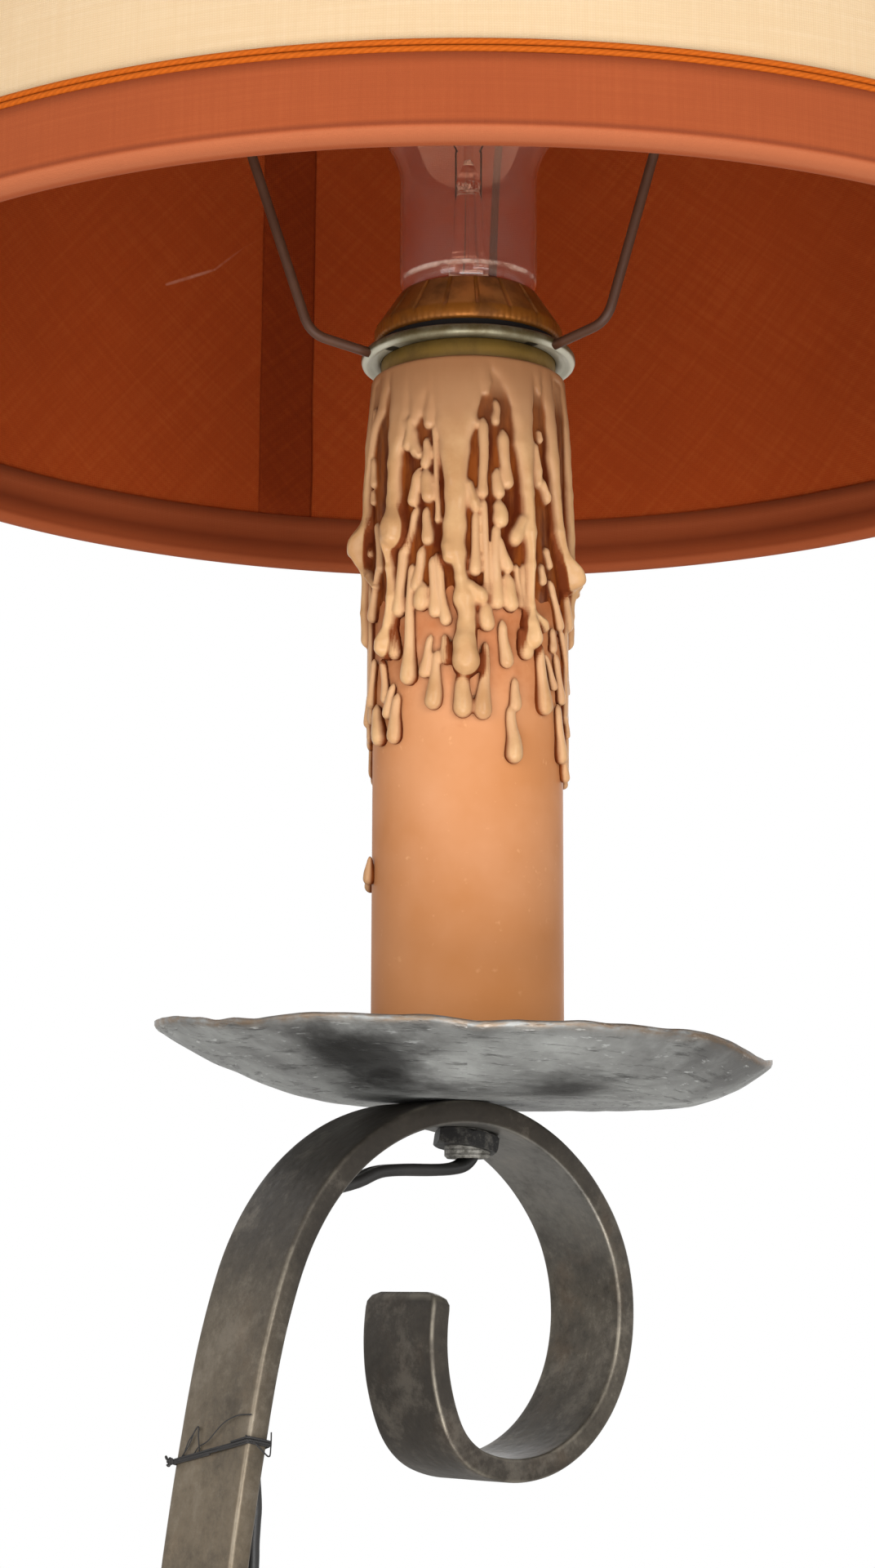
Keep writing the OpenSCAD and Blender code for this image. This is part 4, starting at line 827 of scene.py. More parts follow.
def run_ahead(r, turn, at):
    x, z, h = at
    if r == 0:
        return (x + turn * math.cos(h), z - turn * math.sin(h), h)
    t = math.radians(turn)
    q = r if t > 0 else -r
    return (x + q * (math.sin(h + t) - math.sin(h)), z - q * (math.cos(h) - math.cos(h + t)), h + t)


def run_points(steps, fine):
    """Points of a run of bends: [x, z, angle below +X], with a straight where the radius is 0."""
    at = (0, 0, 0)
    points = []
    for r, turn in steps:
        length = turn if r == 0 else r * math.radians(abs(turn))
        count = max(2, round(length / fine))
        points += [run_ahead(r, turn * k / count, at) for k in range(count)]
        at = run_ahead(r, turn, at)
    return points + [at]


def bar_outline(width, thickness):
    """A flat bar's section with eased edges, as (across, through, edge wear) per point."""
    w = width / 2
    t = thickness / 2
    e = min(BAR_EASE, t * 0.9)
    corner = [(math.radians(a)) for a in (0, 22, 45, 68, 90)]
    quarter = [(w - e + e * math.cos(a), t - e + e * math.sin(a)) for a in corner]
    flats = [0.9, 0.72, 0.45, 0.15]
    worn = (0.0, 0.4, 1.0, 0.4, 0.0)
    points = [(x, y, k) for (x, y), k in zip(quarter, worn)] + [((w - e) * f, t, 0.0) for f in flats]
    points += [(-x, y, k) for x, y, k in reversed(points)]
    return points + [(-x, -y, k) for x, y, k in points]


def forged(p, size=0.10):
    """Slight unevenness of hammered bar, in millimetres."""
    return size * (noise.noise(p * 55) + 0.5 * noise.noise(p * 160))


def make_bar():
    crook_end = run_points(CROOK_BENDS, 1.5)[-1]
    reach = -STEM_X - CROWN_X
    last_r = (reach - crook_end[0]) / (1 - math.sin(math.radians(CROOK_TURN)))
    crook = CROOK_BENDS + [(last_r, 90 - CROOK_TURN)]
    top_z = BAR_MID_Z + run_points(crook, 1.5)[-1][1]
    stem = run_points(crook + [(0, top_z - HUB_TOP + TANG_LEN)], 1.5)
    line = [(-x, z, -h) for x, z, h in reversed(stem[1:])] + run_points(SCROLL_BENDS, 1.2)
    tip = line[-1]
    line.append((tip[0] + 0.8 * math.cos(tip[2]), tip[1] - 0.8 * math.sin(tip[2]), tip[2]))
    lengths = [0.0]
    for a, b in zip(line, line[1:]):
        lengths.append(lengths[-1] + math.hypot(b[0] - a[0], b[1] - a[1]))
    points, wear, under, sides = [], [], [], 0
    for (x, z, h), run in zip(line, lengths):
        left = lengths[-1] - run
        bite = TIP_ROUND - math.sqrt(max(0, TIP_ROUND ** 2 - (TIP_ROUND - min(TIP_ROUND, left)) ** 2))
        thin = 0.8 * (1 - min(1, left / 1.5))
        section = bar_outline(BAR_W - 2 * bite, BAR_T - 2 * thin)
        sides = len(section)
        for across, through, edge in section:
            p = Vector((x - CROWN_X + through * math.sin(h), across, BAR_MID_Z + z + through * math.cos(h)))
            lump = forged(p * MM)
            k = 1 + lump / BAR_T
            p = Vector((x - CROWN_X + through * k * math.sin(h), across * (1 + lump / BAR_W),
                        BAR_MID_Z + z + through * k * math.cos(h)))
            points.append(place(*p))
            wear.append(max(edge, 1.0 if left < 0.9 else 0.0))
            under.append(1.0 if through < -BAR_T / 2 + BAR_EASE / 2 else 0.0)
    rings = len(line)
    faces = ring_faces(rings, sides)
    section = bar_outline(BAR_W, BAR_T)
    girth = [0.0]
    for k in range(sides):
        a, b = section[k], section[(k + 1) % sides]
        girth.append(girth[-1] + math.hypot(b[0] - a[0], b[1] - a[1]) * MM)
    uvs = ring_uvs(rings, sides, [v * MM for v in lengths], lambda j, i: girth[i])
    faces.append(tuple(range(sides - 1, -1, -1)))
    faces.append(tuple((rings - 1) * sides + k for k in range(sides)))
    uvs += [(girth[k], 0) for k in range(sides - 1, -1, -1)]
    uvs += [(girth[k], lengths[-1] * MM) for k in range(sides)]
    bar = mesh_object("stem_and_scroll", points, faces, uvs)
    float_attribute(bar, "edge", wear)
    float_attribute(bar, "under", under)
    finish_piece(bar, STEEL, "stand", "forged_bar", "stem_bar")


def float_attribute(piece, name, values):
    layer = piece.data.attributes.new(name, "FLOAT", "POINT")
    layer.data.foreach_set("value", np.asarray(values, dtype=np.float32))


make_bar()


# Drip pan

PAN_R = 66.6
PAN_DEPTH = 11.8
PAN_T = 1.8
PAN_LEAN = math.radians(5)
SEAT_R = 22.0
TUBE_R = 4.95
RIM_LIFT = [-1, 0.2, 0.5, -1.7, -0.3, 0.3, 0.9, -0.6, -1.1, 0.5, 1.2, -0.2, -0.3, -0.7, -2.2, -0.9]
RIM_GROW = [0, 0.4, 0.2, -0.9, -1.3, -1, -0.4, 0.3, 0.7, 0.2, -0.5, 0.2, 0.7, 0.8, 0.3, -0.2]


def wave_between(values, turn):
    p = turn / 360 * len(values)
    k = math.floor(p)
    s = (1 - math.cos(math.pi * (p - k))) / 2
    return values[k % len(values)] * (1 - s) + values[(k + 1) % len(values)] * s


def pan_point(turn, r, lift, dent):
    s = max(0, (r - SEAT_R) / (PAN_R - SEAT_R))
    lean = -(r - SEAT_R) * math.tan(PAN_LEAN) * math.sin(math.radians(turn)) * min(1, 1.6 * s)
    bowl = 2.1 + 1.4 * max(0, math.sin(math.radians(turn)))
    z = PAN_DEPTH * s ** bowl + lean + wave_between(RIM_LIFT, turn) * s ** 3
    p = around(r + wave_between(RIM_GROW, turn) * s, turn, CROWN_Z + lift + z)
    if r > SEAT_R and dent:
        beat = noise.voronoi(Vector((p.x * 95, p.y * 95, 0)))[0][0]
        p.z += (min(beat, 0.7) - 0.35) * 0.55 * MM * min(1, 3 * s)
        p.z += noise.noise(p * 120) * 0.25 * MM * s
        p.z += noise.noise(p * 160) * 0.25 * MM * s ** 6
    return p


def make_pan():
    sides = 288
    shares = [k / 44 for k in range(45)]
    inner = [TUBE_R + 0.05, 12.0]
    low = inner + [SEAT_R + (PAN_R - SEAT_R) * s for s in shares]
    rows = [(r, 0.0) for r in low]
    rows += [(PAN_R + 0.35, 0.45), (PAN_R + 0.35, 1.3)]
    rows += [(r - (0.4 if r == PAN_R else 0), PAN_T) for r in reversed(low)]
    points = [pan_point(360 * i / sides, r, lift, True) for r, lift in rows for i in range(sides)]
    rim = [max(0, (r - SEAT_R) / (PAN_R - SEAT_R)) * (1.0 if lift > 0 else 0.93)
           for r, lift in rows for i in range(sides)]
    along = [0.0]
    for a, b in zip(rows, rows[1:] + rows[:1]):
        along.append(along[-1] + math.hypot(b[0] - a[0], b[1] - a[1]) * MM)
    pan = mesh_object(
        "beaten_pan", points, ring_faces(len(rows), sides, True),
        ring_uvs(len(rows), sides, along, lambda j, i: 2 * math.pi * i / sides * 50 * MM, True))
    flip(pan)
    float_attribute(pan, "rim", rim)
    finish_piece(pan, PAN_STEEL, "stand", "hammered_steel", "drip_pan")


def flip(piece):
    piece.data.flip_normals()
    piece.data.update()


make_pan()


# Candle

SLEEVE_R = 21.0
SLEEVE_LOW = CROWN_Z + PAN_T
SLEEVE_TOP = SLEEVE_LOW + 158
WAX_TOP = SLEEVE_TOP + 0.4


def make_sleeve():
    e = 0.5
    inner = SLEEVE_R - 1.4
    profile = [(inner, SLEEVE_LOW), (SLEEVE_R - e, SLEEVE_LOW)]
    profile += [(SLEEVE_R, SLEEVE_LOW + e + 157 * k / 8) for k in range(9)]
    profile += [(SLEEVE_R - e, SLEEVE_TOP), (inner, SLEEVE_TOP)]
    sleeve = lathe("tan_sleeve", profile, 192)
    finish_piece(sleeve, CANDLE, "stand", "candle_plastic", "candle_sleeve")


make_sleeve()

# The wax as the photograph shows it, in its pixels. Each tongue of the outer skin is a row of
# (x, y, half width), and each run below it is (x, y, end x, end y, half width, end half width).
PIXELS_PER_MM = 5.6
SKIN_SEEN = [
    [(462, 440, 16), (456, 500, 10), (449, 520, 9), (444, 560, 8), (442, 600, 8), (442, 645, 11), (437, 676, 15)],
    [(482, 435, 24), (480, 500, 19), (478, 530, 17), (475, 565, 12), (475, 610, 12), (477, 645, 17),
     (477, 655, 17)],
    [(470, 660, 9), (471, 695, 6), (473, 730, 8), (470, 760, 9), (466, 786, 12), (465, 794, 12)],
    [(437, 690, 5), (443, 706, 5), (451, 718, 4)],
    [(505, 440, 22), (505, 470, 16), (503, 495, 11), (500, 510, 9)],
    [(516, 450, 14), (523, 480, 7), (520, 500, 8), (520, 514, 8)],
    [(490, 515, 8), (497, 530, 8), (502, 548, 7), (507, 554, 5)],
    [(557, 440, 38), (558, 478, 32), (556, 510, 27), (555, 545, 20), (557, 600, 15), (556, 640, 15),
     (560, 675, 11), (564, 705, 8), (568, 730, 14), (572, 748, 11), (571, 765, 13), (569, 785, 15), (571, 808, 19)],
    [(548, 640, 7), (547, 665, 9), (548, 680, 9)],
    [(577, 715, 8), (590, 726, 9), (592, 730, 9)],
    [(578, 505, 6), (583, 514, 5)], [(575, 590, 6), (582, 612, 7), (584, 618, 7)],
    [(592, 440, 13), (597, 462, 8), (598, 474, 6)],
    [(625, 440, 20), (633, 462, 14), (640, 480, 12)],
    [(650, 440, 20), (647, 480, 19), (648, 505, 16), (649, 540, 15), (653, 600, 10), (655, 650, 10),
     (657, 690, 7), (657, 740, 6), (656, 762, 9), (657, 782, 13)],
    [(646, 635, 8), (638, 653, 9), (636, 658, 9)], [(660, 750, 6), (672, 762, 7), (675, 768, 6)],
    [(668, 450, 12), (670, 470, 5), (671, 478, 4)], [(670, 528, 4), (671, 536, 5)],
    [(664, 545, 5), (667, 575, 6), (667, 590, 6)], [(672, 590, 6), (678, 606, 6), (679, 611, 5)],
    [(682, 450, 12), (684, 490, 12), (686, 520, 11), (687, 560, 12), (690, 600, 10), (692, 650, 9), (698, 685, 10),
     (703, 712, 14)]]
COAT_HEIGHTS = [1109, 1150, 1159, 1171, 1177.5, 1184, 1188]
COAT_THICKNESS = [3.1, 3.1, 2.6, 2.1, 1.5, 0.95, 0.8]
SKIN_ROUND = 2.3
RUN_FULLNESS = 1.15
# Hanging ends of the tongues as (x, y, half width, rise in millimetres).
SWELLS_SEEN = [(437, 672, 17, 2.9), (464, 792, 13, 1.6), (571, 803, 21, 2.0), (657, 780, 15, 1.6), (477, 652, 18, 1.8),
               (548, 678, 10, 0.9), (703, 706, 17, 2.8)]
RUNS_SEEN = [
    (457, 500, 457, 533, 4, 5), (455, 560, 456, 598, 4, 5), (454, 600, 455, 619, 3, 4),
    (503, 505, 499, 552, 6, 7), (521, 535, 520, 573, 4, 6), (512, 572, 505, 620, 7, 7),
    (520, 572, 524, 615, 7, 8), (531, 520, 536, 640, 3, 4), (608, 488, 608, 520, 4, 5),
    (592, 510, 592, 609, 6, 6), (610, 572, 612, 610, 5, 7), (617, 525, 623, 598, 7, 7),
    (637, 520, 642, 650, 3, 4), (612, 610, 614, 646, 5, 9), (583, 625, 582, 705, 4, 7),
    (593, 610, 597, 730, 4, 5), (609, 640, 610, 746, 5, 8), (612, 655, 623, 701, 4, 7),
    (622, 700, 627, 749, 6, 9), (521, 620, 523, 667, 4, 7), (509, 620, 495, 680, 4, 6),
    (449, 640, 452, 684, 4, 5), (459, 640, 463, 701, 4, 5), (462, 690, 454, 763, 4, 7),
    (493, 665, 487, 756, 6, 8), (478, 740, 482, 808, 5, 8), (503, 690, 499, 839, 4, 10),
    (516, 668, 509, 725, 5, 7), (517, 712, 515, 748, 5, 9), (529, 680, 532, 756, 5, 7),
    (534, 676, 546, 766, 5, 7), (527, 776, 519, 830, 4, 7), (535, 795, 530, 869, 4, 10),
    (544, 775, 547, 814, 4, 7), (567, 815, 567, 879, 7, 11), (595, 785, 592, 881, 4, 10),
    (595, 735, 597, 773, 5, 9), (616, 758, 622, 818, 5, 8), (632, 829, 633, 871, 4, 7),
    (627, 862, 631, 935, 5, 10), (640, 768, 646, 808, 4, 9), (662, 785, 669, 876, 5, 10),
    (670, 800, 681, 846, 3, 5), (689, 770, 701, 853, 4, 4), (683, 800, 690, 864, 4, 6),
    (686, 862, 690, 936, 4, 8), (692, 925, 695, 959, 4, 6), (695, 875, 698, 905, 3, 4),
    (676, 710, 688, 773, 4, 6), (688, 680, 697, 775, 4, 8), (679, 768, 680, 800, 4, 5),
    (672, 670, 676, 697, 4, 4), (666, 690, 667, 717, 4, 5), (642, 690, 648, 770, 3, 5),
    (634, 690, 640, 745, 3, 4), (456, 806, 452, 868, 4, 6), (466, 806, 470, 862, 4, 6),
    (480, 836, 473, 881, 4, 7), (459, 862, 463, 914, 5, 10), (485, 848, 481, 911, 5, 9),
    (451, 845, 443, 892, 4, 6), (450, 1048, 449, 1084, 2, 7)]


def run_tube(points, faces, stations):
    """Adds one closed wax run. A station is (turn, z, half width, half height, middle radius)."""
    sides = 14
    first = len(points)
    for turn, z, w, h, r in stations:
        a = FRONT_TURN + math.radians(turn)
        middle = place(r * math.cos(a), r * math.sin(a), z)
        side = Vector((-math.sin(a), math.cos(a), 0))
        out = Vector((math.cos(a), math.sin(a), 0))
        for k in range(sides):
            b = 2 * math.pi * k / sides
            points.append(middle + side * (w * math.cos(b) * MM) + out * (h * math.sin(b) * MM))
    count = len(stations)
    faces += ring_faces(count, sides, False, first)
    faces.append(tuple(first + k for k in range(sides - 1, -1, -1)))
    faces.append(tuple(first + (count - 1) * sides + k for k in range(sides)))


def rounded_end(stations):
    """The half round that closes a run below its last station."""
    turn, z, w, h, r = stations[-1]
    end = []
    for a in (15, 30, 45, 60, 72, 83):
        c = math.cos(math.radians(a))
        end.append((turn, z - w * math.sin(math.radians(a)), w * c, h * c, r))
    return end


def tongue_knots(row):
    """A tongue of the outer skin as (turn, z, half width in millimetres)."""
    return [(*seen_at(x, y, SLEEVE_R + 3.2), half / PIXELS_PER_MM) for x, y, half in row]


def all_tongues():
    """The front as seen, then the same tongues mirrored at the back with other ends."""
    chance = random.Random(5)
    front = [tongue_knots(row) for row in SKIN_SEEN]
    back = []
    for knots in front:
        if abs(knots[0][0]) < 80 and abs(knots[-1][0]) < 84:
            sink = chance.uniform(-3, 3)
            back.append([(180 - t, z + sink * min(1, (WAX_TOP - z) / 20), w) for t, z, w in knots])
    sides = []
    for turn in (86, 97, 109, -86, -98, -110):
        z_end = chance.uniform(1124, 1143)
        sides.append([(turn, WAX_TOP, 4.5), (turn, WAX_TOP - 10, 2.6), (turn + 1, 1160, 1.8), (turn, z_end + 6, 1.4),
                      (turn, z_end, 2.0)])
    return front + back + sides


def skin_depth(turns, heights):
    """How far inside the outer skin's outline each point of the unrolled sleeve lies."""
    radius = SLEEVE_R + 3.2
    total = np.zeros((len(heights), len(turns)))
    pull = 0.45
    for knots in all_tongues():
        for (t0, z0, w0), (t1, z1, w1) in zip(knots, knots[1:]):
            reach = max(w0, w1) + 4
            rows = (heights > min(z0, z1) - reach) & (heights < max(z0, z1) + reach)
            across = (turns - t0 + 180) % 360 - 180
            columns = np.abs(across - (t1 - t0) / 2) < math.degrees(reach / radius) + abs(t1 - t0) / 2
            u = np.radians(across[columns])[None, :] * radius
            v = heights[rows][:, None] - z0
            run_u = math.radians(t1 - t0) * radius
            run_v = z1 - z0
            share = np.clip((u * run_u + v * run_v) / (run_u ** 2 + run_v ** 2), 0, 1)
            soft = share * share * (3 - 2 * share)
            away = np.hypot(u - run_u * share, v - run_v * share) - (w0 + (w1 - w0) * soft)
            total[np.ix_(rows, columns)] += np.exp(-np.clip(away, -12, 9) / pull)
    cap = (heights - (WAX_TOP - 0.6))[:, None]
    total += np.exp(np.clip(cap, -9, 12) / pull)
    return pull * np.log(np.maximum(total, 1e-9))


def skin_swells(turns, heights):
    """How far the hanging ends swell out, on the front and mirrored at the back."""
    rise = np.zeros((len(heights), len(turns)))
    for x, y, half, most in SWELLS_SEEN:
        turn, z = seen_at(x, y, SLEEVE_R + 3.2)
        width = half / PIXELS_PER_MM
        for at in (turn, 180 - turn):
            across = np.radians((turns - at + 180) % 360 - 180)[None, :] * SLEEVE_R
            away = np.hypot(across, 0.65 * (heights[:, None] - z)) / width
            rise = np.maximum(rise, most * np.exp(-away ** 3))
    return rise


def make_skin():
    """The outer skin and the film under it, as one closed wall round the sleeve."""
    columns = 640
    rows = 470
    turns = np.arange(columns) * 360 / columns
    top = WAX_TOP + 1.5
    low = WAX_TOP - 75
    heights = low + (top - low) * np.arange(rows) / (rows - 1)
    coat = np.interp(heights, COAT_HEIGHTS, COAT_THICKNESS)
    depth = skin_depth(turns, heights)
    rise = skin_swells(turns, heights)
    points = []
    for j, z in enumerate(heights):
        shoulder = max(0, 1 - (top - z) / 0.9)
        full = coat[j] - 0.5
        for i, turn in enumerate(turns):
            a = FRONT_TURN + math.radians(turn)
            at = Vector((math.cos(a) * 2.6, math.sin(a) * 2.6, z * 0.11))
            swell = noise.noise(at) + 0.5 * noise.noise(at * 2.7)
            edge = 1 - min(1, max(0, depth[j, i]) / SKIN_ROUND)
            skin = SLEEVE_R - 0.4
            if depth[j, i] > 0:
                thick = full * (1 + 0.14 * swell) + rise[j, i]
                skin = SLEEVE_R + 0.5 + thick * math.sqrt(1 - edge * edge)
            fade = (z - (WAX_TOP - 55 + 5 * noise.noise(at * 2.0))) / 9
            film = SLEEVE_R - 0.4 + 0.85 * min(1, max(0, fade)) + 0.12 * noise.noise(at * 5)
            r = max(skin, film) - 0.7 * (1 - math.sqrt(1 - shoulder * shoulder))
            points.append(place(r * math.cos(a), r * math.sin(a), z))
    for z in (top, low):
        for turn in turns:
            a = FRONT_TURN + math.radians(turn)
            points.append(place((SLEEVE_R - 1.2) * math.cos(a), (SLEEVE_R - 1.2) * math.sin(a), z))
    return mesh_object("wax_skin", points, ring_faces(rows + 2, columns, True))


def run_stations(x, y, end_x, end_y, half, end_half, proud=0.9):
    """A thin run with a fuller round end, from the photograph's pixels."""
    turn, z = seen_at(x, y, SLEEVE_R + 1.5)
    end_turn, low = seen_at(end_x, end_y, SLEEVE_R + 1.5)
    w0 = half * RUN_FULLNESS / PIXELS_PER_MM
    w1 = end_half * RUN_FULLNESS / PIXELS_PER_MM
    centre = low + w1
    steps = max(6, round((z - centre) / 0.8))
    stations = []
    for k in range(steps + 1):
        s = k / steps
        at = z + (centre - z) * s
        swell = math.exp(-((at - centre) / (1.9 * w1)) ** 2)
        w = (w0 + (w1 * 0.72 - w0) * s) * (1 - swell) + w1 * swell
        bend = 1.4 * math.sin(math.pi * s) * noise.noise(Vector((x * 0.13, y * 0.13, s * 1.5)))
        w *= math.sin(math.pi / 2 * min(1, (s * steps + 0.4) * 0.8 / w0 / 2))
        stations.append((turn + (end_turn - turn) * s + bend, at, w, w, SLEEVE_R + proud))
    return stations + rounded_end(stations)


def wax_runs():
    """The thin runs of the front, and the same kind all round the back."""
    points, faces = [], []
    runs = [run_stations(*row) for row in RUNS_SEEN]
    for stations in runs:
        run_tube(points, faces, stations)
    chance = random.Random(9)
    for stations in runs:
        if abs(stations[0][0]) < 76 and abs(stations[-1][0]) < 80:
            sink = chance.uniform(-2.5, 2.5)
            back = [(180 - turn, z + sink * min(1, (WAX_TOP - z) / 20), *rest) for turn, z, *rest in stations]
            run_tube(points, faces, back)
    for turn in (86, 97, 109, -86, -98, -110):
        for _ in range(4):
            at = turn + chance.uniform(-7, 7)
            low = chance.uniform(1096, 1118)
            run = [(at, low + 30 - k, 0.9 + 0.8 * math.exp(-((30 - k) / 3) ** 2), 0.9, SLEEVE_R + 0.5)
                   for k in range(31)]
            run_tube(points, faces, run + rounded_end(run))
    return mesh_object("wax_runs", points, faces)


def make_wax():
    wax = joined("dripped_coat", [wax_runs(), make_skin()])
    remesh = wax.modifiers.new("remesh", "REMESH")
    remesh.mode = "VOXEL"
    remesh.voxel_size = 0.00028
    ease = wax.modifiers.new("ease", "SMOOTH")
    ease.factor = 0.5
    ease.iterations = 3
    graph = bpy.context.evaluated_depsgraph_get()
    mesh = bpy.data.meshes.new_from_object(wax.evaluated_get(graph))
    wax.modifiers.clear()
    wax.data = mesh
    mesh.polygons.foreach_set("use_smooth", [True] * len(mesh.polygons))
    paint_wax(wax)
    finish_piece(wax, WAX, "stand", "wax", "wax_drips")


def paint_wax(wax):
    """Point values: how deep a point lies below its surroundings, and how far in it is."""
    count = len(wax.data.vertices)
    co = np.empty(count * 3, dtype=np.float32)
    wax.data.vertices.foreach_get("co", co)
    co = co.reshape(-1, 3) / MM
    x = co[:, 0] - AXIS_X / MM
    y = co[:, 1]
    r = np.hypot(x, y)
    cell = 0.5
    columns = 264
    u = ((np.arctan2(y, x) / (2 * math.pi) * columns) % columns).astype(int)
    low = co[:, 2].min()
    rows = int((co[:, 2].max() - low) / cell) + 2
    v = ((co[:, 2] - low) / cell).astype(int)
    field = np.full((rows, columns), SLEEVE_R, dtype=np.float32)
    np.maximum.at(field, (v, u), r)
    hull = field.copy()
    for _ in range(3):
        hull = np.maximum.reduce([hull, np.roll(hull, 1, 1), np.roll(hull, -1, 1)])
    for _ in range(2):
        up = np.vstack([hull[1:], hull[-1:]])
        down = np.vstack([hull[:1], hull[:-1]])
        hull = np.maximum.reduce([hull, up, down])
    for _ in range(6):
        up = np.vstack([hull[1:], hull[-1:]])
        down = np.vstack([hull[:1], hull[:-1]])
        hull = (hull * 2 + np.roll(hull, 1, 1) + np.roll(hull, -1, 1) + up + down) / 6
    depth = hull[v, u] - r
    low_lying = np.clip((SLEEVE_R + 3.1 - r) / 0.9, 0, 1)
    float_attribute(wax, "crevice", np.clip(depth / 3.4, 0, 1) * low_lying)
    float_attribute(wax, "inner", np.clip((SLEEVE_R + 2.6 - r) / 0.9, 0, 1) * 0.7)
    below = np.clip((1182 - co[:, 2]) / 6, 0, 1)
    float_attribute(wax, "foot", np.clip((SLEEVE_R + 1.0 - r) / 0.45, 0, 1) * below)


make_wax()


# Lampholder, rings and bulb

CAP_RING_Z = 1194.4 + 0.0
COLLAR_Z = WAX_TOP + 0.4
CARRIER_Z = COLLAR_Z + 4
RING_Z = CARRIER_Z + 3.6 + 2.2
NECK_Z = RING_Z + 11.6 - 2
NECK_TOP = 1234.0
NECK_R = 15.6
BULB_R = 32.5
BALL_Z = NECK_TOP + 36
BARREL_R = 19.05
SKIRT_R = 19.7


def make_screw_ring():
    z = RING_Z
    profile = [(19.08, z), (20.4, z), (21.0, z + 0.3), (21.25, z + 0.9), (21.25, z + 3.0),
               (20.9, z + 3.7), (18.4, z + 7.4), (16.1, z + 10.9), (15.6, z + 11.5), (15.1, z + 11.6),
               (14.75, z + 11.3), (14.75, z + 10.6), (16.6, z + 7.6), (19.08, z + 5.4)]
    slots = 18

    def knurl(a, r, height):
        band = z + 3.5 < height < z + 11.2 and r > 15.5
        if not band:
            edge = 0.05 * math.cos(90 * a) if height < z + 1.0 and r > 20.3 else 0.0
            return (edge, 0)
        groove = abs(((a - FRONT_TURN - math.radians(6)) * slots / (2 * math.pi) + 0.5) % 1 - 0.5)
        return (-0.6 if groove < 0.06 else 0.0, 0)
    ring = lathe("screw_ring", profile, 720, knurl)
    finish_piece(ring, RING_BRASS, "shade_ring", "ring_brass", "shade_ring")


def make_collar():
    profile = [(BARREL_R, COLLAR_Z), (SKIRT_R - 0.3, COLLAR_Z), (SKIRT_R, COLLAR_Z + 0.3),
               (SKIRT_R, CARRIER_Z + 1.5), (BARREL_R, CARRIER_Z + 1.5)]
    finish_piece(lathe("skirt", profile), COLLAR, "stand", "ring_brass", "holder_collar")


def make_carrier():
    z = CARRIER_Z + 1.5
    profile = [(SKIRT_R + 0.1, z), (21.6, z), (22.2, z - 0.15), (22.8, z - 0.55), (23.4, z - 0.6), (23.95, z - 0.2),
               (24.2, z + 0.5), (24.1, z + 1.3), (23.7, z + 1.9), (23.1, z + 2.1), (22.5, z + 1.7),
               (22.1, z + 0.9), (21.2, z + 0.6), (20.5, z + 0.8), (20.3, z + 2.1), (SKIRT_R + 0.1, z + 2.1)]
    ring = lathe("carrier", profile, 160)
    finish_piece(ring, CARRIER, "shade", "carrier_zinc", "carrier_ring")


def glass_profile(inset):
    """The bulb's outline: rounded foot, straight neck, flare and round crown."""
    foot = [(11.6 + 4 * math.sin(math.radians(a)) - inset, NECK_Z + 0.2 + inset + 7 * (1 - math.cos(math.radians(a))))
            for a in range(0, 91, 9)]
    flare = [(NECK_R + (BULB_R * 0.985 - NECK_R) * eased(s * 0.96) - inset, NECK_TOP + 33 * s)
             for s in (k / 16 for k in range(17))]
    crown = [((BULB_R - inset) * math.cos(math.radians(a)),
              BALL_Z + (BULB_R - inset) * math.sin(math.radians(a))) for a in range(3, 90, 5)]
    return foot + flare + crown + [(0.02, BALL_Z + BULB_R - inset)]


def make_bulb():
    outer = glass_profile(0)
    inner = glass_profile(0.6)
    bulb = lathe("clear_bulb", outer + list(reversed(inner)), 96)
    finish_piece(bulb, GLASS, "bulb", "clear_glass", "bulb_glass")
    low = NECK_Z - 1
    tube = [(0.02, low), (11.4, low), (11.4, low + 1), (7.5, low + 3), (4.6, low + 8), (3.5, low + 16),
            (3.3, 1226), (3.2, 1229), (2.6, 1231.5), (2.9, 1234), (2.0, 1236.5), (1.1, 1238.5),
            (0.9, 1257), (1.7, 1259.5), (1.2, 1261), (0.02, 1261.2)]
    mount = lathe("glass_mount", tube, 32)
    finish_piece(mount, MOUNT_GLASS, "bulb", "mount_glass", "bulb_mount")
    top = NECK_TOP + 8
    side = [(2.9, top - 18), (2.9, top - 1), (3.3, top + 1), (13, top + 25), (12.6, top + 26.2),
            (11, top + 26.6)]
    route = side + [(4, top + 25.6), (-4, top + 25.6)] + [(-x, z) for x, z in reversed(side)]
    turned = [around(0, 0, z) + tangent(x) for x, z in route]
    wire = sweep("wire_and_filament", smooth_route(turned, 4), (math.cos(FRONT_TURN), math.sin(FRONT_TURN), 0),
                 circle_outline(0.2 * MM, 8))
    finish_piece(wire, WIRE_DARK, "bulb", "filament", "bulb_filament")


def tangent(x):
    """A step sideways across the camera's line of sight, in millimetres."""
    return Vector((-math.sin(FRONT_TURN), math.cos(FRONT_TURN), 0)) * (x * MM)


make_screw_ring()
make_collar()
make_carrier()
make_bulb()


# Shade

SHADE_LOW = 1180.0
SHADE_H = 320.0
SHADE_TOP = SHADE_LOW + SHADE_H
SHADE_R = 157.6
SHADE_DRAW = 5.0
TRIM_H = 15.4
TRIM_T = 0.7
RING_WIRE = 3.4
COVER_INSET = 0.8
LINING_INSET = 1.5
SKIN_INSET = 2.0
PIPING_D = 1.2
WALL_BACK = 3.4
RING_R = SHADE_R - 4.3
ARM_WIRE = 2.2
ARM_TURNS = (40, 160, 280)
SEAM_TURN = 63.5
SEAM_W = 15.4


def wall_r(z, inset):
    return SHADE_R - inset - SHADE_DRAW * (z - SHADE_LOW) / SHADE_H


def soft_wall(a, r, z):
    """Cloth on parchment is never quite round."""
    return (0.25 * noise.noise(Vector((math.cos(a) * 2.2, math.sin(a) * 2.2, z * 0.012))), 0)


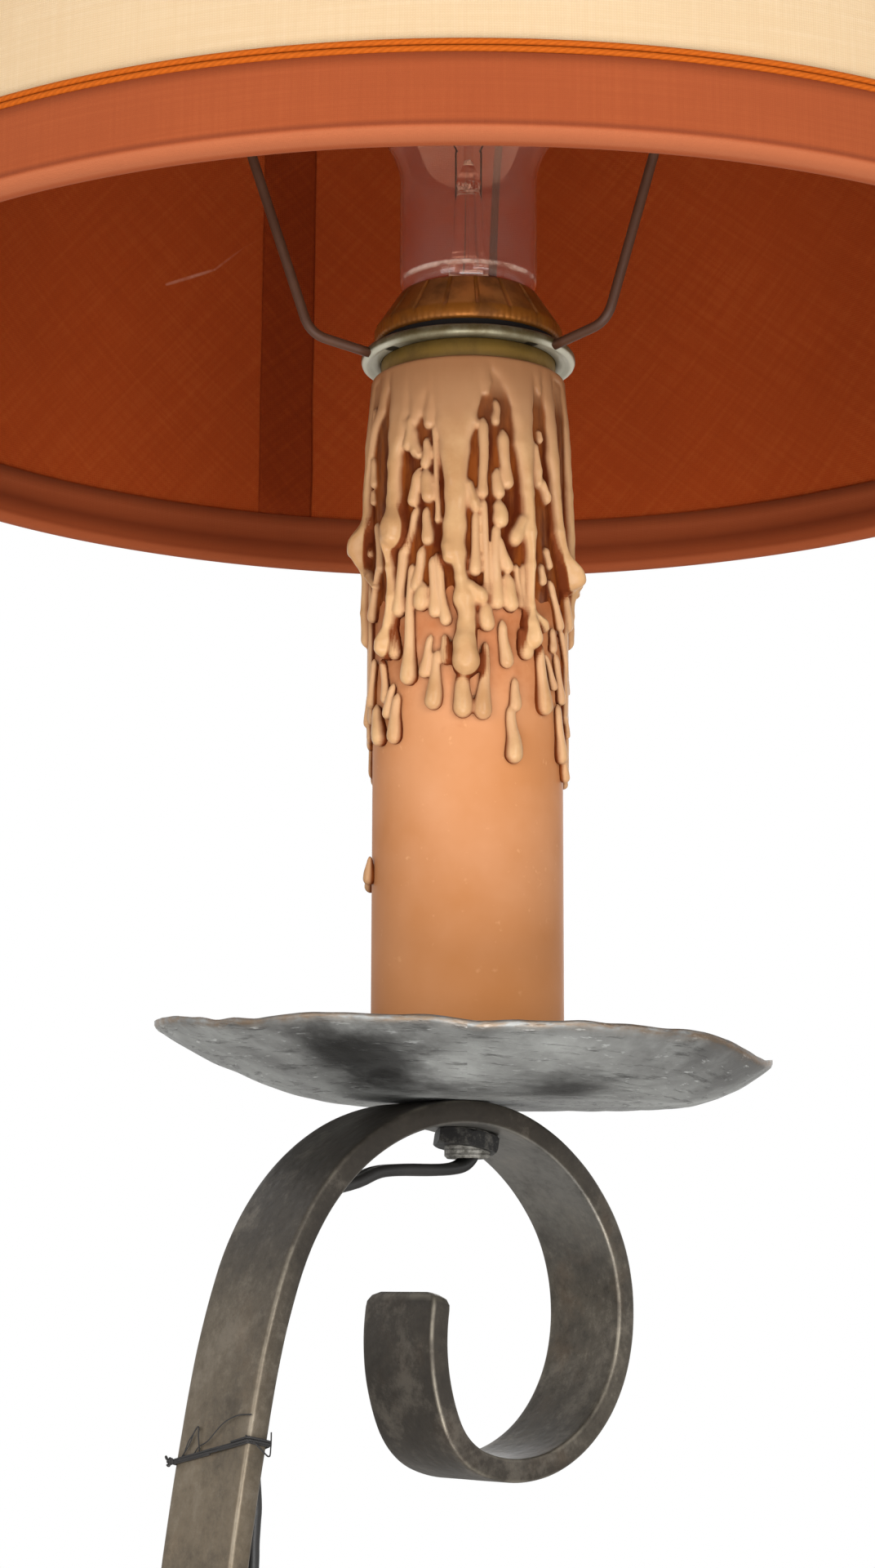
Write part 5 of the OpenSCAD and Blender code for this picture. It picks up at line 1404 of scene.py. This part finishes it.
def wall_profile(inset, thickness, low, high, rows):
    zs = [low + (high - low) * k / rows for k in range(rows + 1)]
    return [(wall_r(z, inset + thickness), z) for z in reversed(zs)] + [(wall_r(z, inset), z) for z in zs]


def make_walls():
    for name, material, slot, inset, thickness, node in (
            ("shade_cloth", COVER, "cover_cloth", COVER_INSET, 0.6, "shade_cover"),
            ("shade_inner_cloth", LINING, "lining_cloth", LINING_INSET, 0.4, "shade_lining")):
        wall = lathe(name, wall_profile(inset, thickness, SHADE_LOW + WALL_BACK, SHADE_TOP - WALL_BACK, 24), 288, soft_wall)
        finish_piece(wall, material, "shade", slot, node)


def make_seam():
    low = SHADE_LOW + TRIM_H - 1
    high = SHADE_TOP - TRIM_H + 1
    rows = 40
    columns = 14
    span = SEAM_W / SHADE_R
    points = []
    for skin in (0.0, 0.45):
        for j in range(rows + 1):
            z = low + (high - low) * j / rows
            for i in range(columns + 1):
                s = i / columns
                a = math.radians(SEAM_TURN) + span * s + 0.0015 * noise.noise(Vector((s * 3, z * 0.05, 0)))
                pinch = 0.2 * math.exp(-((s - 0.55) / 0.05) ** 2)
                r = soft_wall(a, 0, z)[0] + wall_r(z, SKIN_INSET + (skin and skin * (0.35 + 0.65 * math.sin(math.pi * min(1, max(0, s))) ** 0.3) - pinch))
                points.append(place(r * math.cos(a), r * math.sin(a), z))
    faces, uvs = [], []
    stride = columns + 1
    layer = (rows + 1) * stride
    for j in range(rows):
        for i in range(columns):
            a = j * stride + i
            quad = (a, a + 1, a + stride + 1, a + stride)
            faces.append(quad)
            faces.append(tuple(layer + k for k in reversed(quad)))
            corner = [(i, j), (i + 1, j), (i + 1, j + 1), (i, j + 1)]
            scaled = [(u * SEAM_W / columns * MM, v * (high - low) / rows * MM) for u, v in corner]
            uvs += scaled + list(reversed(scaled))
    edge = [j * stride for j in range(rows + 1)]
    far = [j * stride + columns for j in range(rows, -1, -1)]
    loop = [i for i in range(columns + 1)] + [j * stride + columns for j in range(1, rows + 1)]
    loop += [rows * stride + i for i in range(columns - 1, -1, -1)] + [j * stride for j in range(rows - 1, 0, -1)]
    for k, a in enumerate(loop):
        b = loop[(k + 1) % len(loop)]
        faces.append((b, a, layer + a, layer + b))
        uvs += [(0, 0), (0, 0.001), (0.001, 0.001), (0.001, 0)]
    seam = mesh_object("lapped_seam", points, faces, uvs)
    finish_piece(seam, SEAM, "shade", "seam_cloth", "lining_seam")


def trim_profile(z0, up):
    """Tape folded round the wire: flat face outside, rolled lip, and a flap inside."""
    wire_r = RING_WIRE / 2 + 0.12
    centre_r = SHADE_R - 4.3 if up > 0 else SHADE_R - 4.3 - SHADE_DRAW
    centre_z = z0 + up * (0.75 + RING_WIRE / 2)
    outer = [(wall_r(z0 + up * h, 0), z0 + up * h) for h in (TRIM_H, 13, 10, 7, 4.4, 3.2)]
    lip = []
    reach = wall_r(z0 + up * 3, 0) - centre_r
    for a in range(12, 180, 14):
        c = math.cos(math.radians(a))
        s = math.sin(math.radians(a))
        width = reach if c > 0 else wire_r + TRIM_T
        lip.append((centre_r + width * c, centre_z - up * (wire_r + TRIM_T - 0.12) * s))
    inside = [(wall_r(z0 + up * h, SKIN_INSET + TRIM_T + extra), z0 + up * h)
              for h, extra in ((5.6, 2.9), (7.2, 1.4), (9, 0.3), (12, 0.0), (TRIM_H, 0.0))]
    skin = outer + lip + inside
    back = []
    for r, z in reversed(skin):
        back.append((r, z))
    shell = []
    count = len(skin)
    for i, (r, z) in enumerate(skin):
        r0, z0_ = skin[max(i - 1, 0)]
        r1, z1 = skin[min(i + 1, count - 1)]
        dr, dz = r1 - r0, z1 - z0_
        size = math.hypot(dr, dz)
        n = (dz / size * up, -dr / size * up)
        t = 0.62
        shell.append((r + n[0] * t, z + n[1] * t))
    return skin + list(reversed(shell))


def make_trims():
    for name, z0, up, node in (("tape_low", SHADE_LOW, 1, "trim_bottom"), ("tape_high", SHADE_TOP, -1, "trim_top")):
        def ripple(a, r, z, z0=z0):
            far = min(1, abs(z - z0) / 8)
            return (soft_wall(a, r, z)[0] + 0.06 * noise.noise(Vector((math.cos(a) * 9, math.sin(a) * 9, z * 0.2))),
                    0.2 * noise.noise(Vector((math.cos(a) * 4, math.sin(a) * 4, 2.0))) * far)
        tape = lathe(name, trim_profile(z0, up), 360, ripple)
        middle = SHADE_R - 3.0 if up > 0 else SHADE_R - 3.0 - SHADE_DRAW
        radii = [math.hypot(v.co.x - AXIS_X, v.co.y) / MM for v in tape.data.vertices]
        float_attribute(tape, "inside", [1.0 if r < middle else 0.0 for r in radii])
        finish_piece(tape, TRIM, "shade", "trim_cloth", node)


def make_piping():
    rings = []
    d = PIPING_D
    for k, z in enumerate((SHADE_LOW + TRIM_H + d / 2, SHADE_LOW + TRIM_H + 1.5 * d + 0.1,
                           SHADE_TOP - TRIM_H - d / 2, SHADE_TOP - TRIM_H - 1.5 * d - 0.1)):
        r = wall_r(z, COVER_INSET) + (d + 0.1) / 2
        profile = [(r + d / 2 * math.cos(2 * math.pi * i / 12), z + d / 2 * math.sin(2 * math.pi * i / 12))
                   for i in range(12)]
        rings.append(lathe(f"cord_{k}", profile, 720, soft_wall))
    piping = joined("double_cord", rings)
    finish_piece(piping, PIPING, "shade", "piping_cloth", "trim_piping")


def make_arms():
    foot = Vector((23.9, 0, CARRIER_Z + 1.5))
    knee = Vector((38, 0, CARRIER_Z + 4.1))
    top = Vector((RING_R - SHADE_DRAW - 0.8, 0, SHADE_TOP - 2.4))
    bend = 5
    for letter, turn in zip("abc", ARM_TURNS):
        rise = (knee - foot).normalized()
        lean = (top - knee).normalized()
        line = [foot, foot + rise * 3]
        start = knee - rise * bend * 0.8
        stop = knee + lean * bend * 0.8
        line += [start * (1 - s) ** 2 + knee * 2 * s * (1 - s) + stop * s * s for s in (k / 10 for k in range(11))]
        line += [stop + (top - stop) * k / 8 for k in range(1, 9)]
        a = math.radians(turn)
        points = [place(p.x * math.cos(a), p.x * math.sin(a), p.z) for p in line]
        arm = sweep(f"arm_wire_{letter}", points, (-math.sin(a), math.cos(a), 0), circle_outline(ARM_WIRE / 2 * MM, 16))
        finish_piece(arm, ARM_PAINT, "shade", "arm_brown", f"shade_arm_{letter}")


make_walls()
make_seam()
make_trims()
make_piping()
make_arms()


# Held flex and ties

TUBE_LOW = BAR_MID_Z - BAR_T / 2 - 6.8
FLEX_LEVEL = TUBE_LOW - 2.4
FLEX_IN_TUBE = [
    (0, 1164), (0, CROWN_Z + 60), (0.6, TUBE_LOW + 8), (1.3, TUBE_LOW + 3.4), (0.9, TUBE_LOW + 1.2),
    (-0.4, TUBE_LOW - 0.6), (-2.6, TUBE_LOW - 1.8), (-6, FLEX_LEVEL), (-11, FLEX_LEVEL - 0.3), (-19, FLEX_LEVEL - 0.5),
    (-26, FLEX_LEVEL - 1.2), (-32, FLEX_LEVEL - 3.4)]
HELD_SLACK = [
    (0, -3.2, 953), (1.95, -4.2, 944), (2.4, -4.3, 940), (2.7, -4.4, 936), (3.1, -4.6, 932),
    (3.6, -5, 922), (3.8, -5, 905), (3.6, -5, 880), (2.4, -3, 830),
    (1, -0.8, 770), (0.2, 0.5, 710), (0, 0.3, 660), (0, 0, 612), (0.3, 0.3, 560), (0.9, 1, 500),
    (0.6, 0.6, 430), (0, 0, 360), (0, 0, 310), (0, 0, LEAD_START_Z)]
CROOK_TO_Z = 956.0
TIE_HEIGHTS = (953.0, 612.0, 276.0)
TIE_TURNS = 4
THREAD_D = 0.8
TIE_SLOPE = -0.23
LOOSE_HAIRS = [
    [(-11.1, 5.0), (-7, 5.6), (-3, 4.8), (0.9, 2.2), (3.5, 1.6), (5.0, 0.4)],
    [(9, 0.3), (6.8, 2.5), (5.6, 5.0), (4.6, 5.6), (4.2, 3.5), (3.2, 0.3)],
    [(8.4, 0.2), (7.2, 3.0), (6.2, 4.2), (5.2, 5.8)]]


def last_bend():
    """Radius of the crook's last long bend, and the height where the stem below it is straight."""
    crook_end = run_points(CROOK_BENDS, 1.5)[-1]
    r = (-STEM_X - CROWN_X - crook_end[0]) / (1 - math.sin(math.radians(CROOK_TURN)))
    whole = run_points(CROOK_BENDS + [(r, 90 - CROOK_TURN)], 5)
    return r, BAR_MID_Z + whole[-1][1], whole


def bar_at(height):
    """Lean of the bar and the place of its middle line at a height of the stem."""
    r, straight_z, _ = last_bend()
    lean = math.asin(max(0, height - straight_z) / r)
    return lean, STEM_X + r * (1 - math.cos(lean))


def make_held_flex():
    inside = BAR_T / 2 + 0.1 + FLEX_T / 2
    crook = last_bend()[2]
    under = [(-CROWN_X - x + inside * math.sin(h), 0, BAR_MID_Z + z - inside * math.cos(h))
             for x, z, h in crook if x > 34 and BAR_MID_Z + z > CROOK_TO_Z]
    held = [(bar_at(z)[1] + inside + off, side, z) for off, side, z in HELD_SLACK]
    route = [place(*p) for p in [(x, 0, z) for x, z in FLEX_IN_TUBE] + under + held]
    flex = sweep("flex_behind_bar", smooth_route(route, 4), (0, 1, 0), twin_outline())
    finish_piece(flex, FLEX_BLACK, "stand", "flex_pvc", "flex_held")


def tie_loop(gap):
    """Offsets of one turn of thread round the bar and the flex, through and across the bar."""
    t = BAR_T / 2
    w = BAR_W / 2
    half = [(-t - gap, 0), (-t - gap, w * 0.6), (-t - gap, w - 0.6), (-t - 0.6 * gap, w + 0.6 * gap),
            (-t + 0.6, w + gap), (t - 0.6, w + gap), (t + 0.7 * gap, w + 0.4 * gap), (t + gap + 0.1, w - 1.5),
            (t + FLEX_T * 0.6 + gap, FLEX_W / 2 + 1.2), (t + FLEX_T + gap, FLEX_W / 2 - 0.6)]
    return half + [(x, -y) for x, y in reversed(half[1:])]


def make_ties():
    """Thin thread wound tight in one bundle, a knot at its side, and hair-like loose loops."""
    chance = random.Random(11)
    outer = -BAR_T / 2 - 0.25
    threads = []
    for k, height in enumerate(TIE_HEIGHTS):
        lean, x_at = bar_at(height)
        turn = Matrix.Rotation(lean, 3, "Y")
        stand = Vector((x_at, 0, height))
        route = []
        for i in range(TIE_TURNS):
            loop = tie_loop(0.3 + 0.28 * (i % 2))
            for j, (x, y) in enumerate(loop):
                step = i + j / len(loop)
                z = 0.24 * (step - TIE_TURNS / 2) + TIE_SLOPE * y + 0.35 * noise.noise(Vector((step * 3, k, 0)))
                route.append((x, y, z))
        threads.append(thread_along(route, turn, stand, THREAD_D / 2 * 0.65, 3))
        knot = [(outer - 0.5 + chance.uniform(-0.5, 0.4), BAR_W / 2 + 0.6 + chance.uniform(-0.9, 1.0),
                 TIE_SLOPE * BAR_W / 2 + chance.uniform(-0.9, 0.9)) for _ in range(16)]
        threads.append(thread_along(knot, turn, stand, THREAD_D / 2 * 0.6, 6))
        for hair in LOOSE_HAIRS:
            wander = [(outer - 0.25 * math.sin(math.pi * j / (len(hair) - 1)), y, z + TIE_SLOPE * y)
                      for j, (y, z) in enumerate(hair)]
            threads.append(thread_along(wander, turn, stand, 0.13, 8))
        corner = [(-3.0, -10.6, 1.0), (-0.5, -11.7, -0.6), (2.6, -11.7, -2.2), (3.2, -11.2, -0.4), (2.9, -11.0, 2.5)]
        threads.append(thread_along([(x, y, z - TIE_SLOPE * BAR_W / 2) for x, y, z in corner], turn, stand, 0.16, 8))
    ties = joined("thread_ties", threads)
    finish_piece(ties, THREAD, "stand", "tie_thread", "flex_ties")


def thread_along(route, turn, stand, radius, per_span):
    points = smooth_route([place(*(turn @ Vector(p) + stand)) for p in route], per_span)
    return sweep("thread", points, (0, 0, 1), circle_outline(radius * MM, 6))


make_held_flex()
make_ties()


# Materials of the CAD nodes that stay as they are

NODE_MATERIALS = {
    "hub": BASE_STEEL, "leg_front": BASE_STEEL, "leg_left": BASE_STEEL, "leg_right": BASE_STEEL,
    "stem_pin": RIVET_STEEL, "leg_rivets": RIVET_STEEL, "foot_pads": RUBBER, "riser_tube": PIPE_ZINC,
    "locknut_lower": NUT_BLACK, "locknut_upper": NUT_BLACK, "sleeve_disc": ZINC, "pan_washer": ZINC,
    "holder_cap": BAKELITE, "holder_body": BAKELITE, "holder_shell": BRASS, "holder_contact": BRASS,
    "shade_gasket": GASKET, "bulb_cap": CAP_METAL, "bulb_contact": CAP_METAL,
    "shade_wire_bottom": ARM_PAINT, "shade_wire_top": ARM_PAINT, "switch_base": SWITCH_BROWN,
    "switch_cover": SWITCH_BROWN, "switch_core": SWITCH_BROWN, "switch_button": BUTTON_GREY,
    "switch_screws": ZINC, "plug_body": PLUG_BLACK, "plug_pins": PIN_METAL}

for node_name, node_material in NODE_MATERIALS.items():
    node_object = frame["nodes"][node_name]
    for material_slot in node_object.material_slots:
        material_slot.material = node_material


# Floor, light and background

FLOOR_GLOW = 0.4


def make_floor():
    size = 6.0
    floor = mesh_object("floor", [(-size, -size, 0), (size, -size, 0), (size, size, 0), (-size, size, 0)],
                        [(0, 1, 2, 3)], smooth=False)
    s = Shader("floor_paint")
    paint = s.set(color=s.mix(s.noise(40, 3), "#e6e5e2", "#ecebe8"), rough=0.9)
    s.surface.inputs["Emission Color"].default_value = (1, 1, 1, 1)
    seen = s.node("ShaderNodeLightPath").outputs["Is Camera Ray"]
    s.link(s.math("MULTIPLY", seen, FLOOR_GLOW), s.surface.inputs["Emission Strength"])
    floor.data.materials.append(paint)


def make_world():
    world = bpy.data.worlds.new("studio")
    bpy.context.scene.world = world
    world.use_nodes = True
    tree = world.node_tree
    tree.nodes.clear()
    out = tree.nodes.new("ShaderNodeOutputWorld")
    seen = tree.nodes.new("ShaderNodeBackground")
    seen.inputs["Color"].default_value = (1, 1, 1, 1)
    seen.inputs["Strength"].default_value = 1.0
    soft = tree.nodes.new("ShaderNodeBackground")
    soft.inputs["Color"].default_value = (1, 1, 1, 1)
    soft.inputs["Strength"].default_value = 0.5
    mix = tree.nodes.new("ShaderNodeMixShader")
    path = tree.nodes.new("ShaderNodeLightPath")
    share = path.outputs["Is Camera Ray"]
    for ray in ("Is Transmission Ray", "Is Glossy Ray"):
        either = tree.nodes.new("ShaderNodeMath")
        either.operation = "MAXIMUM"
        tree.links.new(share, either.inputs[0])
        tree.links.new(path.outputs[ray], either.inputs[1])
        share = either.outputs[0]
    tree.links.new(share, mix.inputs[0])
    tree.links.new(soft.outputs[0], mix.inputs[1])
    tree.links.new(seen.outputs[0], mix.inputs[2])
    tree.links.new(mix.outputs[0], out.inputs["Surface"])


def area_light(name, at, target, size, power):
    data = bpy.data.lights.new(name, "AREA")
    data.shape = "RECTANGLE"
    data.size, data.size_y = size
    data.energy = power
    light = bpy.data.objects.new(name, data)
    bpy.context.collection.objects.link(light)
    light.location = at
    light.rotation_euler = (Vector(target) - Vector(at)).to_track_quat("-Z", "Y").to_euler()


def from_camera(side, away, height):
    """A point beside and beyond the candle's axis as the camera sees it, in metres."""
    right = Vector((math.cos(STAND_TURN), -math.sin(STAND_TURN), 0))
    ahead = Vector((math.sin(STAND_TURN), math.cos(STAND_TURN), 0))
    return Vector((AXIS_X, 0, 0)) + right * side + ahead * away + Vector((0, 0, height))


make_floor()
make_world()
area_light("front_right", from_camera(0.7, -1.8, 1.25), from_camera(0, 0, 1.1), (0.9, 1.3), 18.5)
area_light("front_left", from_camera(-1.15, -1.6, 1.1), from_camera(0, 0, 1.1), (0.9, 1.5), 14)
area_light("below", from_camera(0.1, -1.0, 0.35), from_camera(0, 0.05, 1.2), (0.9, 0.6), 11.5)
area_light("behind", from_camera(0.3, 2.3, 1.5), from_camera(0, 0, 1.1), (1.4, 1.2), 9)
bpy.context.scene.view_settings.view_transform = "Standard"
